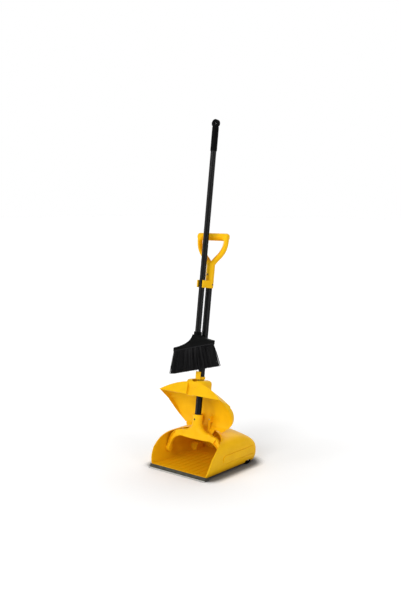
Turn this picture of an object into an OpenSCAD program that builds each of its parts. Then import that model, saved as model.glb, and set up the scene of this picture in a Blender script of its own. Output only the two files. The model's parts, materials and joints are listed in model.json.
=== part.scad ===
// Lobby dustpan: a yellow pan with a hinged lid, a swinging handle and a broom clipped to it.
// Millimetres, +Z up, the mouth faces -Y, and the origin lies on the ground under the middle of the pan.

/* [Pan] */
// Width over the bulging side walls
pan_w = 290; // [270:1:320]
// Depth from the mouth's front corners to the back wall
pan_depth = 320; // [300:1:360]
// Height of the roof's crown
pan_h = 145; // [138:1:155]
// Height of the floor's underside
floor_z = 9; // [8:0.5:11]
// Thickness of the moulded wall
wall = 3; // [2.4:0.2:3.6]
// Height of the back wall below its rounding
back_h = 60; // [50:1:75]
// Radius of the back corners, seen from above
corner_r = 32; // [24:1:44]
// Depth at which the roof starts to fall
fall_y = 180; // [170:1:200]

/* [Mouth] */
// How far back the side rims lean at the bulge
knee_y = 25; // [20:1:32]
// How far back the rim reaches under the crown
apex_y = 172; // [166:1:178]

/* [Side panels and floor ribs] */
// Height of the raised panel on each side wall
panel_h = 31; // [24:1:36]
// Height of the panel's middle above the ground
panel_z = 56.5; // [50:0.5:62]
// Where the panel starts behind the front corners
panel_y = 91; // [84:1:110]
// How far the panel stands proud
panel_proud = 1.6; // [1:0.2:2.4]
// Number of ribs on the floor
rib_count = 9; // [5:2:13]
// Height of a floor rib
rib_h = 1.2; // [0.8:0.2:2]

/* [Lip] */
// How far the rubber lip reaches ahead of the floor
lip_reach = 10; // [8:0.5:13]
// Height of the rubber lip
lip_h = 13; // [12:0.5:15]
// Thickness of the pale wiping edge
blade_t = 1.6; // [1.2:0.2:2.4]

/* [Wheels] */
// Wheel diameter
wheel_d = 34; // [30:1:38]
// Wheel width
wheel_w = 20; // [16:1:22]
// Axle diameter
axle_d = 6; // [5:0.5:8]
// Distance from the axle to the back wall
axle_inset = 58; // [50:1:66]

/* [Lid] */
// Thickness of the lid
lid_wall = 2.5; // [2:0.1:3]
// Height of the lid's arch over its edges
lid_arch = 58; // [54:1:62]
// Angle between the open and the closed lid
lid_swing = 96.5; // [95:0.5:98]
// How far the lid's front tips flare out
lid_flare = 11.7; // [8:0.1:14]
// How far the lid's sides lap over the pan's walls when it is shut
lid_lap = 16.5; // [10:0.5:18]
// Distance of the hinge ahead of the roof's edge
hinge_ahead = 17; // [15:0.5:19]
// Distance of the hinge below the crown
hinge_drop = 21; // [20:0.5:23]
// Diameter of the lid's hinge pin
hinge_pin_d = 5; // [4:0.5:6]

/* [Lid turret] */
// Width of the turret around the tube
turret_w = 94; // [90:1:104]
// Height of the turret's top along the tube, from the pivot
turret_top = 288; // [284:1:294]
// How far the turret reaches ahead of the tube's axis
turret_front = 44; // [43:0.5:46]
// How far the turret reaches behind the tube's axis
turret_back = 25; // [24:0.5:30]

/* [Handle] */
// Outer diameter of the handle's tube
tube_d = 25; // [22:0.5:26]
// Wall of the handle's tube
tube_wall = 1.4; // [1:0.1:2]
// Angle at which the handle leans back on its stop
handle_lean = 7.8; // [6:0.1:9]
// Distance of the pivot behind the front corners
pivot_y = 98; // [95:1:101]
// Height of the pivot
pivot_z = 52; // [50:0.5:55]
// Distance from the pivot to the top of the yoke's socket
socket_top = 154; // [148:1:160]
// Outer diameter of the yoke's socket
socket_d = 38; // [34:0.5:39]
// Thickness of the yoke from front to back
yoke_t = 16; // [13:0.5:18]
// Diameter of the pivot studs
stud_d = 12; // [10:0.5:14]

/* [Grip] */
// Distance from the pivot to the lower end of the grip's socket
grip_z = 640; // [600:5:700]
// Length of the grip's socket
grip_socket = 100; // [80:1:110]
// Distance from the socket's lower end to the crossbar's axis
grip_reach = 194; // [184:1:204]
// Overall width of the grip
grip_w = 147; // [135:1:156]
// Diameter of the crossbar
bar_d = 26; // [22:0.5:28]
// Outer diameter of the grip's socket
grip_d = 32; // [30:0.5:35]

/* [Broom clip and tube tab] */
// Height of the clip
clip_h = 28; // [22:1:32]
// Thickness of the clip's jaws
jaw_t = 3.5; // [3:0.1:4.5]
// Height of the tube tab's tongue
tab_h = 30; // [24:1:34]
// Width of the tube tab's tongue
tab_w = 22; // [18:0.5:24]

/* [Broom] */
// Outer diameter of the broom's tube
broom_d = 22; // [20:0.5:24]
// Distance between the two tubes' axes
broom_gap = 44; // [42:0.5:48]
// Height of the head's socket along the tube, from the pivot
head_top = 472; // [460:1:490]
// Length of the broom's tube above the head
broom_len = 776; // [700:1:800]
// Slant of the head
head_slant = 14.7; // [10:0.1:18]
// Length of the head's block on the low side
block_left = 103; // [90:1:110]
// Length of the head's block on the high side
block_right = 74; // [68:1:82]
// Thickness of the head's block
block_t = 28; // [24:1:32]
// Length of the bristles
bristle_len = 85; // [75:1:92]
// Outer diameter of the hanging ring
ring_d = 31; // [29:0.5:36]
// Diameter of the hole in the hanging ring
hang_d = 11; // [9:0.5:13]

/* [Hidden] */
$fn = 48;

// How far a cut runs past the face it opens
overrun = 2;
// Gap between pieces that lie together in one body
seat_gap = 0.05;
// Radial clearance of a pin that turns in its bore
running_gap = 0.06;
// Gap between bodies that pass each other
pass_gap = 0.8;
// How deep a moulded-in pin is set into its wall
embed = 1.5;

yellow = [0.95, 0.72, 0.03];
black = [0.06, 0.06, 0.065];
rubber = [0.22, 0.22, 0.19];
pale = [0.78, 0.79, 0.76];
steel = [0.66, 0.67, 0.68];

half_w = pan_w / 2;
rise = pan_h - floor_z;
front_y = lip_reach - (pan_depth + lip_reach) / 2;

// Cross-section of the pan as shares of half its width and of its height over the floor
wall_shares = [[0.91, 0], [1, 0.154], [1, 0.485]];
shoulder_shares = [[1, 0.485], [0.997, 0.706], [0.952, 0.846], [0.745, 0.886]];
roof_shares = [[0.745, 0.886], [0.317, 1], [0, 1]];
section_steps = 24;
fall_steps = 9;

// The front-to-back ribs and the rim's curve up the side walls
rib_w = 2;
rib_spread_share = 0.78;
rim_power = 1.6;

hinge_y = apex_y - hinge_ahead;
hinge_z = pan_h - hinge_drop;

function bezier2(p, t) = (1 - t) * (1 - t) * p[0] + 2 * t * (1 - t) * p[1] + t * t * p[2];
function bezier3(p, t) = (1 - t) * bezier2([p[0], p[1], p[2]], t) + t * bezier2([p[1], p[2], p[3]], t);
function reversed(list) = [for (i = [len(list) - 1:-1:0]) list[i]];

// A point of the section: 0 to 1 climbs the wall, 1 to 2 rounds the shoulder, 2 to 3 crosses to the crown
function section_share(u) = u < 1 ? bezier2(wall_shares, u)
    : u < 2 ? bezier3(shoulder_shares, u - 1) : bezier2(roof_shares, u - 2);
function section_half(half, low, top) = [for (i = [0:section_steps])
    let (s = section_share(3 * i / section_steps)) [half * s[0], low + (top - low) * s[1]]];
function section_ring(half, low, top, y) = let (right = section_half(half, low, top))
    concat([for (p = right) [p[0], y, p[1]]],
        [for (i = [section_steps - 1:-1:0]) [-right[i][0], y, right[i][1]]]);

// The mouth's rim on the outer face, as [half width, depth, height]
function rim(u) = let (s = section_share(u))
    [half_w * s[0],
     u < 1 ? knee_y * pow(s[1] / wall_shares[2][1], rim_power)
           : knee_y + (apex_y - knee_y) * sqrt(max(0, 1 - s[0] * s[0])),
     floor_z + rise * s[1]];

// Height and half width of the pan at a given depth
function pan_top(y) = y <= fall_y ? pan_h
    : back_h + (pan_h - back_h) * sqrt(max(0, 1 - pow((y - fall_y) / (pan_depth - fall_y), 2)));
function pan_half(y) = y <= pan_depth - corner_r ? half_w
    : half_w - corner_r + sqrt(max(0, corner_r * corner_r - pow(y - pan_depth + corner_r, 2)));
fall_depths = [for (i = [0:fall_steps]) fall_y + (pan_depth - fall_y) * sin(90 * i / fall_steps)];

// Puts a piece drawn from the front corners into the part's frame
module in_frame() translate([0, front_y, 0]) children();
// Frame of the handle: its pivot is the origin and its tube runs along Z
module as_handle() translate([0, pivot_y, pivot_z]) rotate([-handle_lean, 0, 0]) children();
module on_handle() in_frame() as_handle() children();
// Frame of the broom, whose tube runs along Z ahead of the handle's
module on_broom() on_handle() translate([0, -broom_gap, 0]) children();
// Lays a cylinder's axis along X
module along_x() rotate([0, 90, 0]) children();
// A copy on the other side
module both_sides() {
    children();
    mirror([1, 0, 0]) children();
}

// Closed skin over a list of rings with equal point counts
module skin(rings) {
    n = len(rings[0]);
    m = len(rings);
    polyhedron(
        points = [for (r = rings) each r],
        faces = concat(
            [[for (i = [0:n - 1]) i]],
            [for (j = [0:m - 2], i = [0:n - 1]) let (k = (i + 1) % n)
                each [[j * n + i, (j + 1) * n + i, (j + 1) * n + k],
                    [j * n + i, (j + 1) * n + k, j * n + k]]],
            [[for (i = [n - 1:-1:0]) (m - 1) * n + i]]));
}

// Solid between the ground side and the roof, set in from the outer face by the given amount
module pan_solid(inset, start_y) {
    shrink_share = (pan_depth - inset) / pan_depth;
    depths = concat([start_y], fall_depths);
    skin([for (y = reversed(depths)) section_ring(pan_half(y) - inset, floor_z + inset, pan_top(y) - inset,
        y == start_y ? y : y * shrink_share)]);
}

// What the mouth cuts away, seen from the side, with its corners between the section's
corner_share = 0.5;
module mouth_cut() {
    profile = [for (i = [0:section_steps - 1]) let (p = rim(3 * (i + corner_share) / section_steps))
        if (p[2] > floor_z + wall) [p[1], p[2]]];
    outline = concat([[-overrun, floor_z + wall], [0, floor_z + wall]], profile,
        [[apex_y, pan_h + overrun], [-overrun, pan_h + overrun]]);
    rotate([90, 0, 90]) linear_extrude(pan_w + 2 * overrun, center = true) polygon(outline);
}

wheel_r = wheel_d / 2;
axle_y = pan_depth - axle_inset;
// Gap round a wheel in its well, and how far the wheel stands out from the wall's foot
well_gap = 3;
wheel_proud = 3;
wheel_x = half_w * wall_shares[0][0] + wheel_proud - wheel_w / 2;

module well(grow) translate([wheel_x - wheel_w / 2 - well_gap - grow, axle_y, wheel_r]) along_x()
    cylinder(r = wheel_r + well_gap + grow, h = wheel_w + well_gap + pass_gap + 2 * grow, $fn = 28);

module panel_outline() {
    round_r = panel_h / 2;
    panel_end = pan_depth - corner_r - round_r;
    hull() {
        translate([panel_y + round_r, panel_z]) circle(round_r, $fn = 24);
        translate([panel_end, panel_z]) circle(round_r, $fn = 24);
    }
}

module pan_shell() color(yellow) in_frame() resize([0, pan_depth, 0]) {
    rib_pitch = 2 * half_w * wall_shares[0][0] * rib_spread_share / (rib_count - 1);
    rib_end = axle_y - wheel_r - 2 * well_gap;
    difference() {
        union() {
            pan_solid(0, 0);
            intersection() {
                pan_solid(-panel_proud, panel_proud);
                rotate([90, 0, 90]) linear_extrude(pan_w + 2 * overrun, center = true) panel_outline();
            }
        }
        difference() {
            pan_solid(wall, -overrun);
            both_sides() well(wall);
            for (i = [0:rib_count - 1])
                translate([(i - (rib_count - 1) / 2) * rib_pitch - rib_w / 2, wall, floor_z])
                    cube([rib_w, rib_end, wall + rib_h]);
        }
        mouth_cut();
        both_sides() intersection() {
            well(0);
            translate([0, axle_y - pan_depth / 2, -overrun]) cube([half_w, pan_depth, pan_h]);
        }
    }
}

// Rubber lip: a wedge ahead of the floor with a tongue under it
lip_tongue = 16;
lip_slope = 5;
lip_w = 2 * half_w * wall_shares[0][0] + lip_reach;
module lip_strip() color(rubber) in_frame() {
    top_y = -seat_gap;
    rotate([90, 0, 90]) linear_extrude(lip_w, center = true)
        polygon([[blade_t - lip_reach, 0], [lip_tongue, 0], [lip_tongue, floor_z], [top_y, floor_z],
            [top_y, lip_h], [-lip_slope / 2, lip_h], [blade_t - lip_reach, blade_t]]);
}

// Pale wiping edge bonded to the front of the lip
module lip_blade() color(pale) in_frame()
    translate([-lip_w / 2, -lip_reach, 0]) cube([lip_w, blade_t, blade_t]);

// Wheels on stub axles in their wells
tread_round = 3;
hub_d = 15;
hub_dish = 2.5;
rim_web = 5;
module wheel() along_x() rotate_extrude() {
    inner = axle_d / 2 + running_gap;
    edge = wheel_w / 2;
    polygon([[inner, -edge], [hub_d / 2, -edge], [hub_d / 2, hub_dish - edge],
        [wheel_r - rim_web, hub_dish - edge], [wheel_r - rim_web, -edge], [wheel_r - tread_round, -edge],
        [wheel_r, tread_round - edge], [wheel_r, edge - tread_round], [wheel_r - tread_round, edge],
        [wheel_r - rim_web, edge], [wheel_r - rim_web, edge - hub_dish], [hub_d / 2, edge - hub_dish],
        [hub_d / 2, edge], [inner, edge]]);
}
module wheel_left() color(black) in_frame() translate([-wheel_x, axle_y, wheel_r]) wheel();
module wheel_right() color(black) in_frame() translate([wheel_x, axle_y, wheel_r]) wheel();
module axle_pins() color(steel) in_frame() both_sides() translate([wheel_x, axle_y, wheel_r]) along_x()
    translate([0, 0, -wheel_w / 2 - well_gap - embed])
        cylinder(d = axle_d, h = wheel_w + well_gap + embed);

// Pivot studs moulded on the insides of the walls
arm_gap = 5;
eye_w = 14;
wall_x = half_w - wall;
arm_x = wall_x - arm_gap;
module pivot_studs() color(yellow) in_frame() both_sides() translate([arm_x - eye_w, pivot_y, pivot_z])
    along_x() {
        cylinder(d = stud_d, h = eye_w + arm_gap + embed);
        translate([0, 0, eye_w + pass_gap]) cylinder(d = stud_d + arm_gap, h = arm_gap + embed - pass_gap);
    }

// Hinge under the roof's front edge: fixed lugs, a pin and the lid's arms between the lugs
lug_w = 10;
lug_x = 12;
lug_pitch = 26;
knuckle_t = 3;
hinge_r = hinge_pin_d / 2 + knuckle_t;
pin_half = lug_x + lug_pitch + lug_w / 2;
bracket_t = 4;
bracket_len = 34;
bracket_end = apex_y + wall + bracket_len;
// How far the bracket's back corners are pressed into the roof
bracket_bite = 1.6;
// Where the roof's curve crosses a given half width
function roof_place(x) = let (p = roof_shares, a = p[0][0] - 2 * p[1][0] + p[2][0],
    b = 2 * (p[1][0] - p[0][0]), c = p[0][0] - x / half_w)
    2 - (b + sqrt(b * b - 4 * a * c)) / (2 * a);
bracket_z = floor_z + wall + bracket_bite
    + (pan_top(bracket_end) - floor_z - 2 * wall) * section_share(roof_place(pin_half))[1];
lug_foot = 9;
rivet_d = 6;
rivet_head = 1.4;
module lug(x) translate([x - lug_w / 2, 0, 0]) difference() {
    union() {
        translate([0, hinge_y, hinge_z]) along_x() cylinder(r = hinge_r, h = lug_w);
        rotate([90, 0, 90]) linear_extrude(lug_w)
            polygon([[hinge_y, hinge_z - hinge_r], [hinge_y + lug_foot, hinge_z - hinge_r],
                [apex_y + bracket_len / 2, bracket_z - bracket_t], [apex_y + wall, bracket_z - bracket_t / 2],
                [apex_y + pass_gap - hinge_r, hinge_z + hinge_r / 2], [hinge_y, hinge_z + hinge_r / 2]]);
    }
    translate([-overrun, hinge_y, hinge_z]) along_x()
        cylinder(d = hinge_pin_d + 2 * seat_gap, h = lug_w + 2 * overrun);
}
module hinge_bracket() color(yellow) in_frame() {
    translate([-pin_half, apex_y + wall, bracket_z - bracket_t]) cube([2 * pin_half, bracket_len, bracket_t]);
    both_sides() {
        lug(lug_x);
        lug(lug_x + lug_pitch);
    }
}
module rivet(length) {
    cylinder(d = rivet_d - rivet_head, h = length);
    translate([0, 0, length]) cylinder(d1 = rivet_d, d2 = rivet_d - rivet_head, h = rivet_head);
}
module bracket_rivets() color(steel) in_frame() both_sides()
    translate([lug_x + lug_pitch / 2, apex_y + wall + bracket_len / 2, bracket_z - bracket_t - rivet_head])
        rivet(bracket_t + rivet_head + pan_h - bracket_z);
module lid_hinge_pin() color(steel) in_frame() translate([-pin_half, hinge_y, hinge_z]) along_x()
    cylinder(d = hinge_pin_d, h = 2 * pin_half);

// Lid, drawn shut over the mouth's rim and then swung open; its shares are places on the section's curve
lid_front_share = 0.14;
lid_lap_share = 0.3;
lid_peak_share = 0.8;
lid_lap_end_share = 2.02;
lid_hinge_share = 2.04;
flare_share = 0.88;
lid_ahead = 3.2;
lid_steps = 16;
arch_steps = 12;
front_arch_share = 0.9;
hinge_arch_share = 0.04;
fall_power = 1.3;
tangent_share = 0.01;
skirt_share = 1.15;
lid_offset = pass_gap + lid_wall;

// Outward normal of the pan's section
function section_normal(u) = let (d = section_share(u + tangent_share) - section_share(u - tangent_share),
    n = [rise * d[1], -half_w * d[0]]) n / norm(n);
// The lid's edge: the tips flare ahead of the rim and the sides lap back over the walls
function lid_half(u) = rim(u)[0] + lid_offset * section_normal(u)[0]
    + lid_flare * pow(max(0, 1 - (u - lid_front_share) / flare_share), 2);
function lid_back(u) = u < lid_lap_share
    ? -lid_ahead * (lid_lap_share - u) / (lid_lap_share - lid_front_share)
    : lid_lap * sin(180 * min(1, (u - lid_lap_share) / (lid_lap_end_share - lid_lap_share)));
function lid_foot(u) = let (p = rim(u)) [p[1] + lid_back(u), p[2] + lid_offset * section_normal(u)[1]];
function lid_tangent(u) = let (d = lid_foot(u + tangent_share) - lid_foot(u - tangent_share)) d / norm(d);
function turned(t) = [-t[1], t[0]];
function lid_height(u) = u < lid_peak_share
    ? lid_arch * (1 - (1 - front_arch_share) * (lid_peak_share - u) / (lid_peak_share - lid_front_share))
    : lid_arch * (1 - (1 - hinge_arch_share)
        * pow((u - lid_peak_share) / (lid_hinge_share - lid_peak_share), fall_power));
// The sides stand straight as far as they lap over the walls
function lid_skirt(u) = skirt_share * max(0, lid_back(u)) * lid_tangent(u)[1];
// A ring of the lid: its arch stands on the skirts, moved along the edge by shift and set in by inset
function lid_ring(u, inset, shift, depth) =
    let (t = lid_tangent(u), out = turned(t), foot = lid_foot(u) + shift * t, skirt = lid_skirt(u),
        half = lid_half(u) - inset, high = max(lid_height(u) - inset - skirt, 0))
    concat([[half, foot[0] - depth * out[0], foot[1] - depth * out[1]]],
        [for (k = [arch_steps:-1:-arch_steps])
            let (x = sin(90 * k / arch_steps), a = skirt + high * (1 - x * x))
            [half * x, foot[0] + a * out[0], foot[1] + a * out[1]]],
        [[-half, foot[0] - depth * out[0], foot[1] - depth * out[1]]]);
lid_stations = [for (i = [0:lid_steps])
    lid_front_share + (lid_hinge_share - lid_front_share) * i / lid_steps];
// How far the hollow runs out of the lid's open side
lid_clear = 12;

module swung_open() translate([0, hinge_y, hinge_z]) rotate([-lid_swing, 0, 0])
    translate([0, -hinge_y, -hinge_z]) children();
module lid_outside() swung_open() skin([for (u = reversed(lid_stations)) lid_ring(u, 0, 0, seat_gap)]);
module lid_inside() swung_open() skin([for (u = reversed(lid_stations))
    lid_ring(u, lid_wall, u == lid_front_share ? lid_wall : u == lid_hinge_share ? overrun : 0, lid_clear)]);

// Channel in the lid's front for the tube, wider towards the ridge
channel_low = 28;
channel_high = 56;
channel_deep = 9;
module channel(grow) {
    t = lid_tangent(lid_front_share);
    foot = lid_foot(lid_front_share);
    swung_open() translate([0, foot[0], foot[1]]) rotate([atan2(-t[0], t[1]), 0, 0])
        translate([0, 0, -overrun]) linear_extrude(channel_deep + overrun + grow)
            polygon([[-channel_low / 2 - grow, overrun], [channel_low / 2 + grow, overrun],
                [channel_high / 2 + grow, -lid_arch], [-channel_high / 2 - grow, -lid_arch]]);
}

// Turret over the tube, drawn in the handle's frame as it stands with the lid open
turret_round = 24;
turret_edge = 14;
edge_steps = 4;
turret_low = 70;
slot_gap = 2.6;
slot_w = socket_d + 2 * slot_gap;
module turret(inset) hull() {
    for (x = [-1, 1], y = [turret_round - turret_front, turret_back - turret_round])
        translate([x * (turret_w / 2 - turret_round), y, turret_top - turret_edge]) {
            translate([0, 0, turret_edge - turret_low])
                cylinder(r = turret_round - inset, h = turret_low - turret_edge, $fn = 28);
            for (i = [1:edge_steps]) let (a = 90 * i / edge_steps, r = turret_edge - inset)
                cylinder(r = turret_round - turret_edge + r * cos(a), h = r * sin(a), $fn = 28);
        }
}
module tube_slot() hull() {
    for (y = [lid_wall + slot_w / 2 - turret_front, turret_back - lid_wall - slot_w / 2])
        translate([0, y, turret_top - turret_round - overrun])
            cylinder(d = slot_w, h = turret_round + 2 * overrun);
}
module lid_shell() color(yellow) in_frame() resize([0, 0, 0]) difference() {
    union() {
        difference() {
            lid_outside();
            channel(0);
        }
        as_handle() turret(0);
    }
    difference() {
        lid_inside();
        channel(lid_wall);
    }
    as_handle() {
        turret(lid_wall);
        tube_slot();
    }
}

// Arms that carry the lid on its hinge pin, drawn shut and swung open with it
hinge_arm_w = lug_pitch - lug_w - 2 * pass_gap;
hinge_arm_len = 69;
hinge_pad_len = 24;
hinge_pad_h = 16;
hinge_arm_rise = 0.5;
module hinge_arm() translate([lug_x + lug_pitch / 2 - hinge_arm_w / 2, hinge_y, hinge_z]) difference() {
    union() {
        along_x() cylinder(r = hinge_r, h = hinge_arm_w);
        rotate([90, 0, 90]) linear_extrude(hinge_arm_w)
            polygon([[0, -hinge_r], [0, hinge_arm_rise], [hinge_pad_len - hinge_arm_len, hinge_arm_rise],
                [hinge_pad_len - hinge_arm_len, hinge_pad_h], [-hinge_arm_len, hinge_pad_h],
                [-hinge_arm_len, hinge_arm_rise], [hinge_pad_len / 2 - hinge_arm_len, -hinge_r]]);
    }
    translate([-overrun, 0, 0]) along_x()
        cylinder(d = hinge_pin_d + 2 * running_gap, h = hinge_arm_w + 2 * overrun);
}
module lid_hinge_arms() color(yellow) in_frame() swung_open() both_sides() hinge_arm();
module arm_rivets() color(steel) in_frame() swung_open() both_sides()
    translate([lug_x + lug_pitch / 2, hinge_y + hinge_pad_len / 2 - hinge_arm_len, hinge_z - hinge_r])
        rotate([180, 0, 0]) translate([0, 0, -rivet_head]) rivet(rivet_head);

// Yoke: an arched fork from the socket down to an eye on each stud
neck_shares = [[0.5, 0.78], [0.56, 0.6], [1.9, 0.56]];
neck_steps = 10;
arch_low = 60;
shoulder_z = 82;
shoulder_x = 80;
arm_inner = arm_x - eye_w;
eye_t = 6;
eye_r = stud_d / 2 + eye_t;
arm_steps = 12;
bush_t = 2;
// Screws that hold the tube in its sockets
screw_d = 4;
screw_head_d = 7;
screw_head = 1.6;
screw_z = 136;
grip_screw_up = 24;
module yoke_outline() {
    neck = [for (i = [0:neck_steps]) let (p = bezier2(neck_shares, i / neck_steps))
        [socket_d * p[0], socket_top * p[1]]];
    outer = [for (i = [0:arm_steps]) let (a = 90 * i / arm_steps)
        [shoulder_x + (arm_x - shoulder_x) * sin(a), shoulder_z * cos(a)]];
    inner = [for (i = [arm_steps:-1:0]) let (a = 90 * i / arm_steps)
        [shoulder_x - eye_w + (arm_inner - shoulder_x + eye_w) * sin(a), arch_low * cos(a)]];
    right = concat(neck, outer, inner);
    polygon(concat(right, [for (p = reversed(right)) [-p[0], p[1]]]));
}
module yoke() color(yellow) on_handle() difference() {
    union() {
        rotate([90, 0, 0]) linear_extrude(yoke_t, center = true) yoke_outline();
        translate([0, 0, arch_low]) cylinder(d = socket_d, h = socket_top - arch_low);
        both_sides() translate([arm_inner, 0, 0]) along_x() cylinder(r = eye_r, h = eye_w);
    }
    translate([0, 0, arch_low + wall]) cylinder(d = tube_d + 2 * seat_gap, h = socket_top);
    both_sides() translate([arm_inner - overrun, 0, 0]) along_x()
        cylinder(d = stud_d + 2 * bush_t, h = eye_w + 2 * overrun);
    translate([0, 0, screw_z]) rotate([90, 0, 0]) cylinder(d = screw_d + 2 * seat_gap, h = socket_d);
}
module pivot_bushes() color(black) on_handle() both_sides() translate([arm_inner, 0, 0]) along_x()
    difference() {
        cylinder(d = stud_d + 2 * bush_t - 2 * seat_gap, h = eye_w);
        translate([0, 0, -overrun]) cylinder(d = stud_d + 2 * running_gap, h = eye_w + 2 * overrun);
    }

module cross_screw(reach) rotate([90, 0, 0]) {
    cylinder(d = screw_d, h = reach);
    translate([0, 0, reach]) cylinder(d1 = screw_head_d, d2 = screw_d, h = screw_head);
}
module yoke_screw() color(black) on_handle() translate([0, 0, screw_z]) cross_screw(socket_d / 2);

// Tube of the handle
tube_low = arch_low + wall;
tube_top = grip_z + grip_socket - wall;
module handle_tube() color(black) on_handle() difference() {
    translate([0, 0, tube_low]) cylinder(d = tube_d, h = tube_top - tube_low);
    translate([0, 0, tube_low - overrun])
        cylinder(d = tube_d - 2 * tube_wall, h = tube_top - tube_low + 2 * overrun);
    for (z = [screw_z, grip_z + clip_h + grip_screw_up])
        translate([0, 0, z]) rotate([90, 0, 0]) cylinder(d = screw_d + 2 * seat_gap, h = tube_d);
}

// D-shaped grip: a socket, two bowed arms and a crossbar
arm_d = 21;
arm_t = 24;
arm_points_shares = [[0, 0.4], [0.2, 0.62], [1.04, 0.62], [0.985, 1]];
grip_steps = 14;
grip_sides = 20;
bar_round = 9;
function grip_point(t) = let (p = bezier3(arm_points_shares, t))
    [(grip_w - arm_d) / 2 * p[0], grip_z + grip_reach * p[1]];
function grip_ring(t) =
    let (d = grip_point(min(t + tangent_share, 1)) - grip_point(max(t - tangent_share, 0)), u = d / norm(d),
        c = grip_point(t))
    [for (i = [0:grip_sides - 1]) let (a = 360 * i / grip_sides, s = arm_d / 2 * cos(a))
        [c[0] + s * u[1], arm_t / 2 * sin(a), c[1] - s * u[0]]];
module grip() color(yellow) on_handle() resize([grip_w, 0, 0]) difference() {
    union() {
        translate([0, 0, grip_z + clip_h + seat_gap]) cylinder(d = grip_d, h = grip_socket - clip_h);
        both_sides() skin([for (i = [0:grip_steps]) grip_ring(i / grip_steps)]);
        translate([0, 0, grip_z + grip_reach]) hull() both_sides()
            translate([grip_w / 2 - bar_round, 0, 0]) {
                along_x() cylinder(d = bar_d - bar_round, h = 2 * bar_round, center = true);
                translate([-bar_round, 0, 0]) along_x() cylinder(d = bar_d, h = bar_round, center = true);
            }
    }
    translate([0, 0, grip_z]) cylinder(d = tube_d + 4 * seat_gap, h = grip_socket - wall + seat_gap);
    translate([0, 0, grip_z + clip_h + grip_screw_up]) rotate([90, 0, 0])
        cylinder(d = screw_d + 4 * seat_gap, h = grip_d);
}
module grip_screw() color(black) on_handle() translate([0, 0, grip_z + clip_h + grip_screw_up])
    cross_screw(grip_d / 2);

// Clip under the grip: a band round the tube and two jaws that hold the broom
jaw_gap = 0.3;
jaw_reach = 13;
jaw_half = broom_d / 2 + jaw_gap;
bridge_y = jaw_half + jaw_gap - broom_gap;
module broom_clip() color(yellow) on_handle() translate([0, 0, grip_z]) difference() {
    union() {
        cylinder(d = grip_d, h = clip_h);
        linear_extrude(clip_h) polygon([[jaw_half + jaw_t, 0], [jaw_half + jaw_t, -broom_gap - jaw_reach],
            [jaw_half, -broom_gap - jaw_reach], [jaw_half, bridge_y], [-jaw_half, bridge_y],
            [-jaw_half, -broom_gap - jaw_reach], [-jaw_half - jaw_t, -broom_gap - jaw_reach],
            [-jaw_half - jaw_t, 0]]);
    }
    translate([0, 0, -overrun]) cylinder(d = tube_d + 2 * seat_gap, h = clip_h + 2 * overrun);
    translate([0, 0, clip_h / 2]) along_x() cylinder(d = screw_d + 2 * seat_gap, h = grip_d);
}
module clip_screw() color(black) on_handle() translate([0, 0, grip_z + clip_h / 2]) rotate([0, 0, 90])
    translate([0, -tube_d / 2 - seat_gap, 0]) cross_screw(grip_d / 2 - tube_d / 2);

// Tab on the tube above the turret: a collar with an upright tongue under the bristles
tab_gap = 1.5;
tab_z = turret_top + tab_gap;
collar_t = 3;
collar_h = 10;
tongue_t = 4;
tongue_ahead = 22;
module tube_tab() color(yellow) on_handle() translate([0, 0, tab_z]) difference() {
    union() {
        cylinder(d = tube_d + 2 * collar_t, h = collar_h);
        translate([-tab_w / 2, -tongue_ahead, 0]) cube([tab_w, tongue_ahead, collar_h]);
        translate([-tab_w / 2, -tongue_ahead, 0]) cube([tab_w, tongue_t, tab_h]);
    }
    translate([0, 0, -overrun]) cylinder(d = tube_d + 2 * seat_gap, h = tab_h);
    translate([0, 0, collar_h / 2]) rotate([-90, 0, 0]) cylinder(d = screw_d + 2 * seat_gap, h = tube_d);
}
module tab_rivet() color(steel) on_handle() translate([0, 0, tab_z + collar_h / 2]) rotate([0, 0, 180])
    translate([0, -tube_d / 2 - seat_gap, 0]) cross_screw(collar_t);

// Broom: tube, hanging cap, head and bristles
broom_wall = 1.2;
socket_deep = 34;
cap_len = 90;
cap_wall = 1.75;
cap_d = broom_d + 2 * cap_wall;
ring_t = 12;
broom_top = head_top + broom_len;
ring_z = broom_top + ring_d / 2 - cap_wall;
module broom_tube() color(black) on_broom() difference() {
    translate([0, 0, head_top - socket_deep]) cylinder(d = broom_d, h = broom_len + socket_deep - cap_wall);
    translate([0, 0, head_top - socket_deep - overrun])
        cylinder(d = broom_d - 2 * broom_wall, h = broom_len + socket_deep + overrun);
    translate([0, 0, broom_top - cap_len / 2]) rotate([90, 0, 0])
        cylinder(d = screw_d + 2 * seat_gap, h = broom_d);
}
module broom_cap() color(black) on_broom() difference() {
    union() {
        translate([0, 0, broom_top - cap_len]) cylinder(d = cap_d, h = cap_len);
        translate([0, 0, ring_z]) rotate([90, 0, 0]) cylinder(d = ring_d, h = ring_t, center = true);
    }
    translate([0, 0, broom_top - cap_len - overrun])
        cylinder(d = broom_d + 2 * seat_gap, h = cap_len + overrun - cap_wall + seat_gap);
    translate([0, 0, ring_z]) rotate([90, 0, 0])
        cylinder(d = hang_d, h = ring_t + 2 * overrun, center = true);
    translate([0, 0, broom_top - cap_len / 2]) rotate([90, 0, 0])
        cylinder(d = screw_d + 2 * seat_gap, h = cap_d);
}
module cap_pin() color(black) on_broom() translate([0, 0, broom_top - cap_len / 2])
    translate([0, -broom_d / 2 + broom_wall, 0]) rotate([90, 0, 0])
        cylinder(d = screw_d, h = cap_wall + broom_wall + screw_head / 2);

// Head: a slanted block that rises to a socket
head_socket_d = 29.5;
block_drop = 57;
block_low = head_top - block_drop;
block_edge = 12;
slope = tan(head_slant);
head_steps = 8;
ferrule_h = 10;
function block_z(x) = block_low + slope * x;
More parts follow.
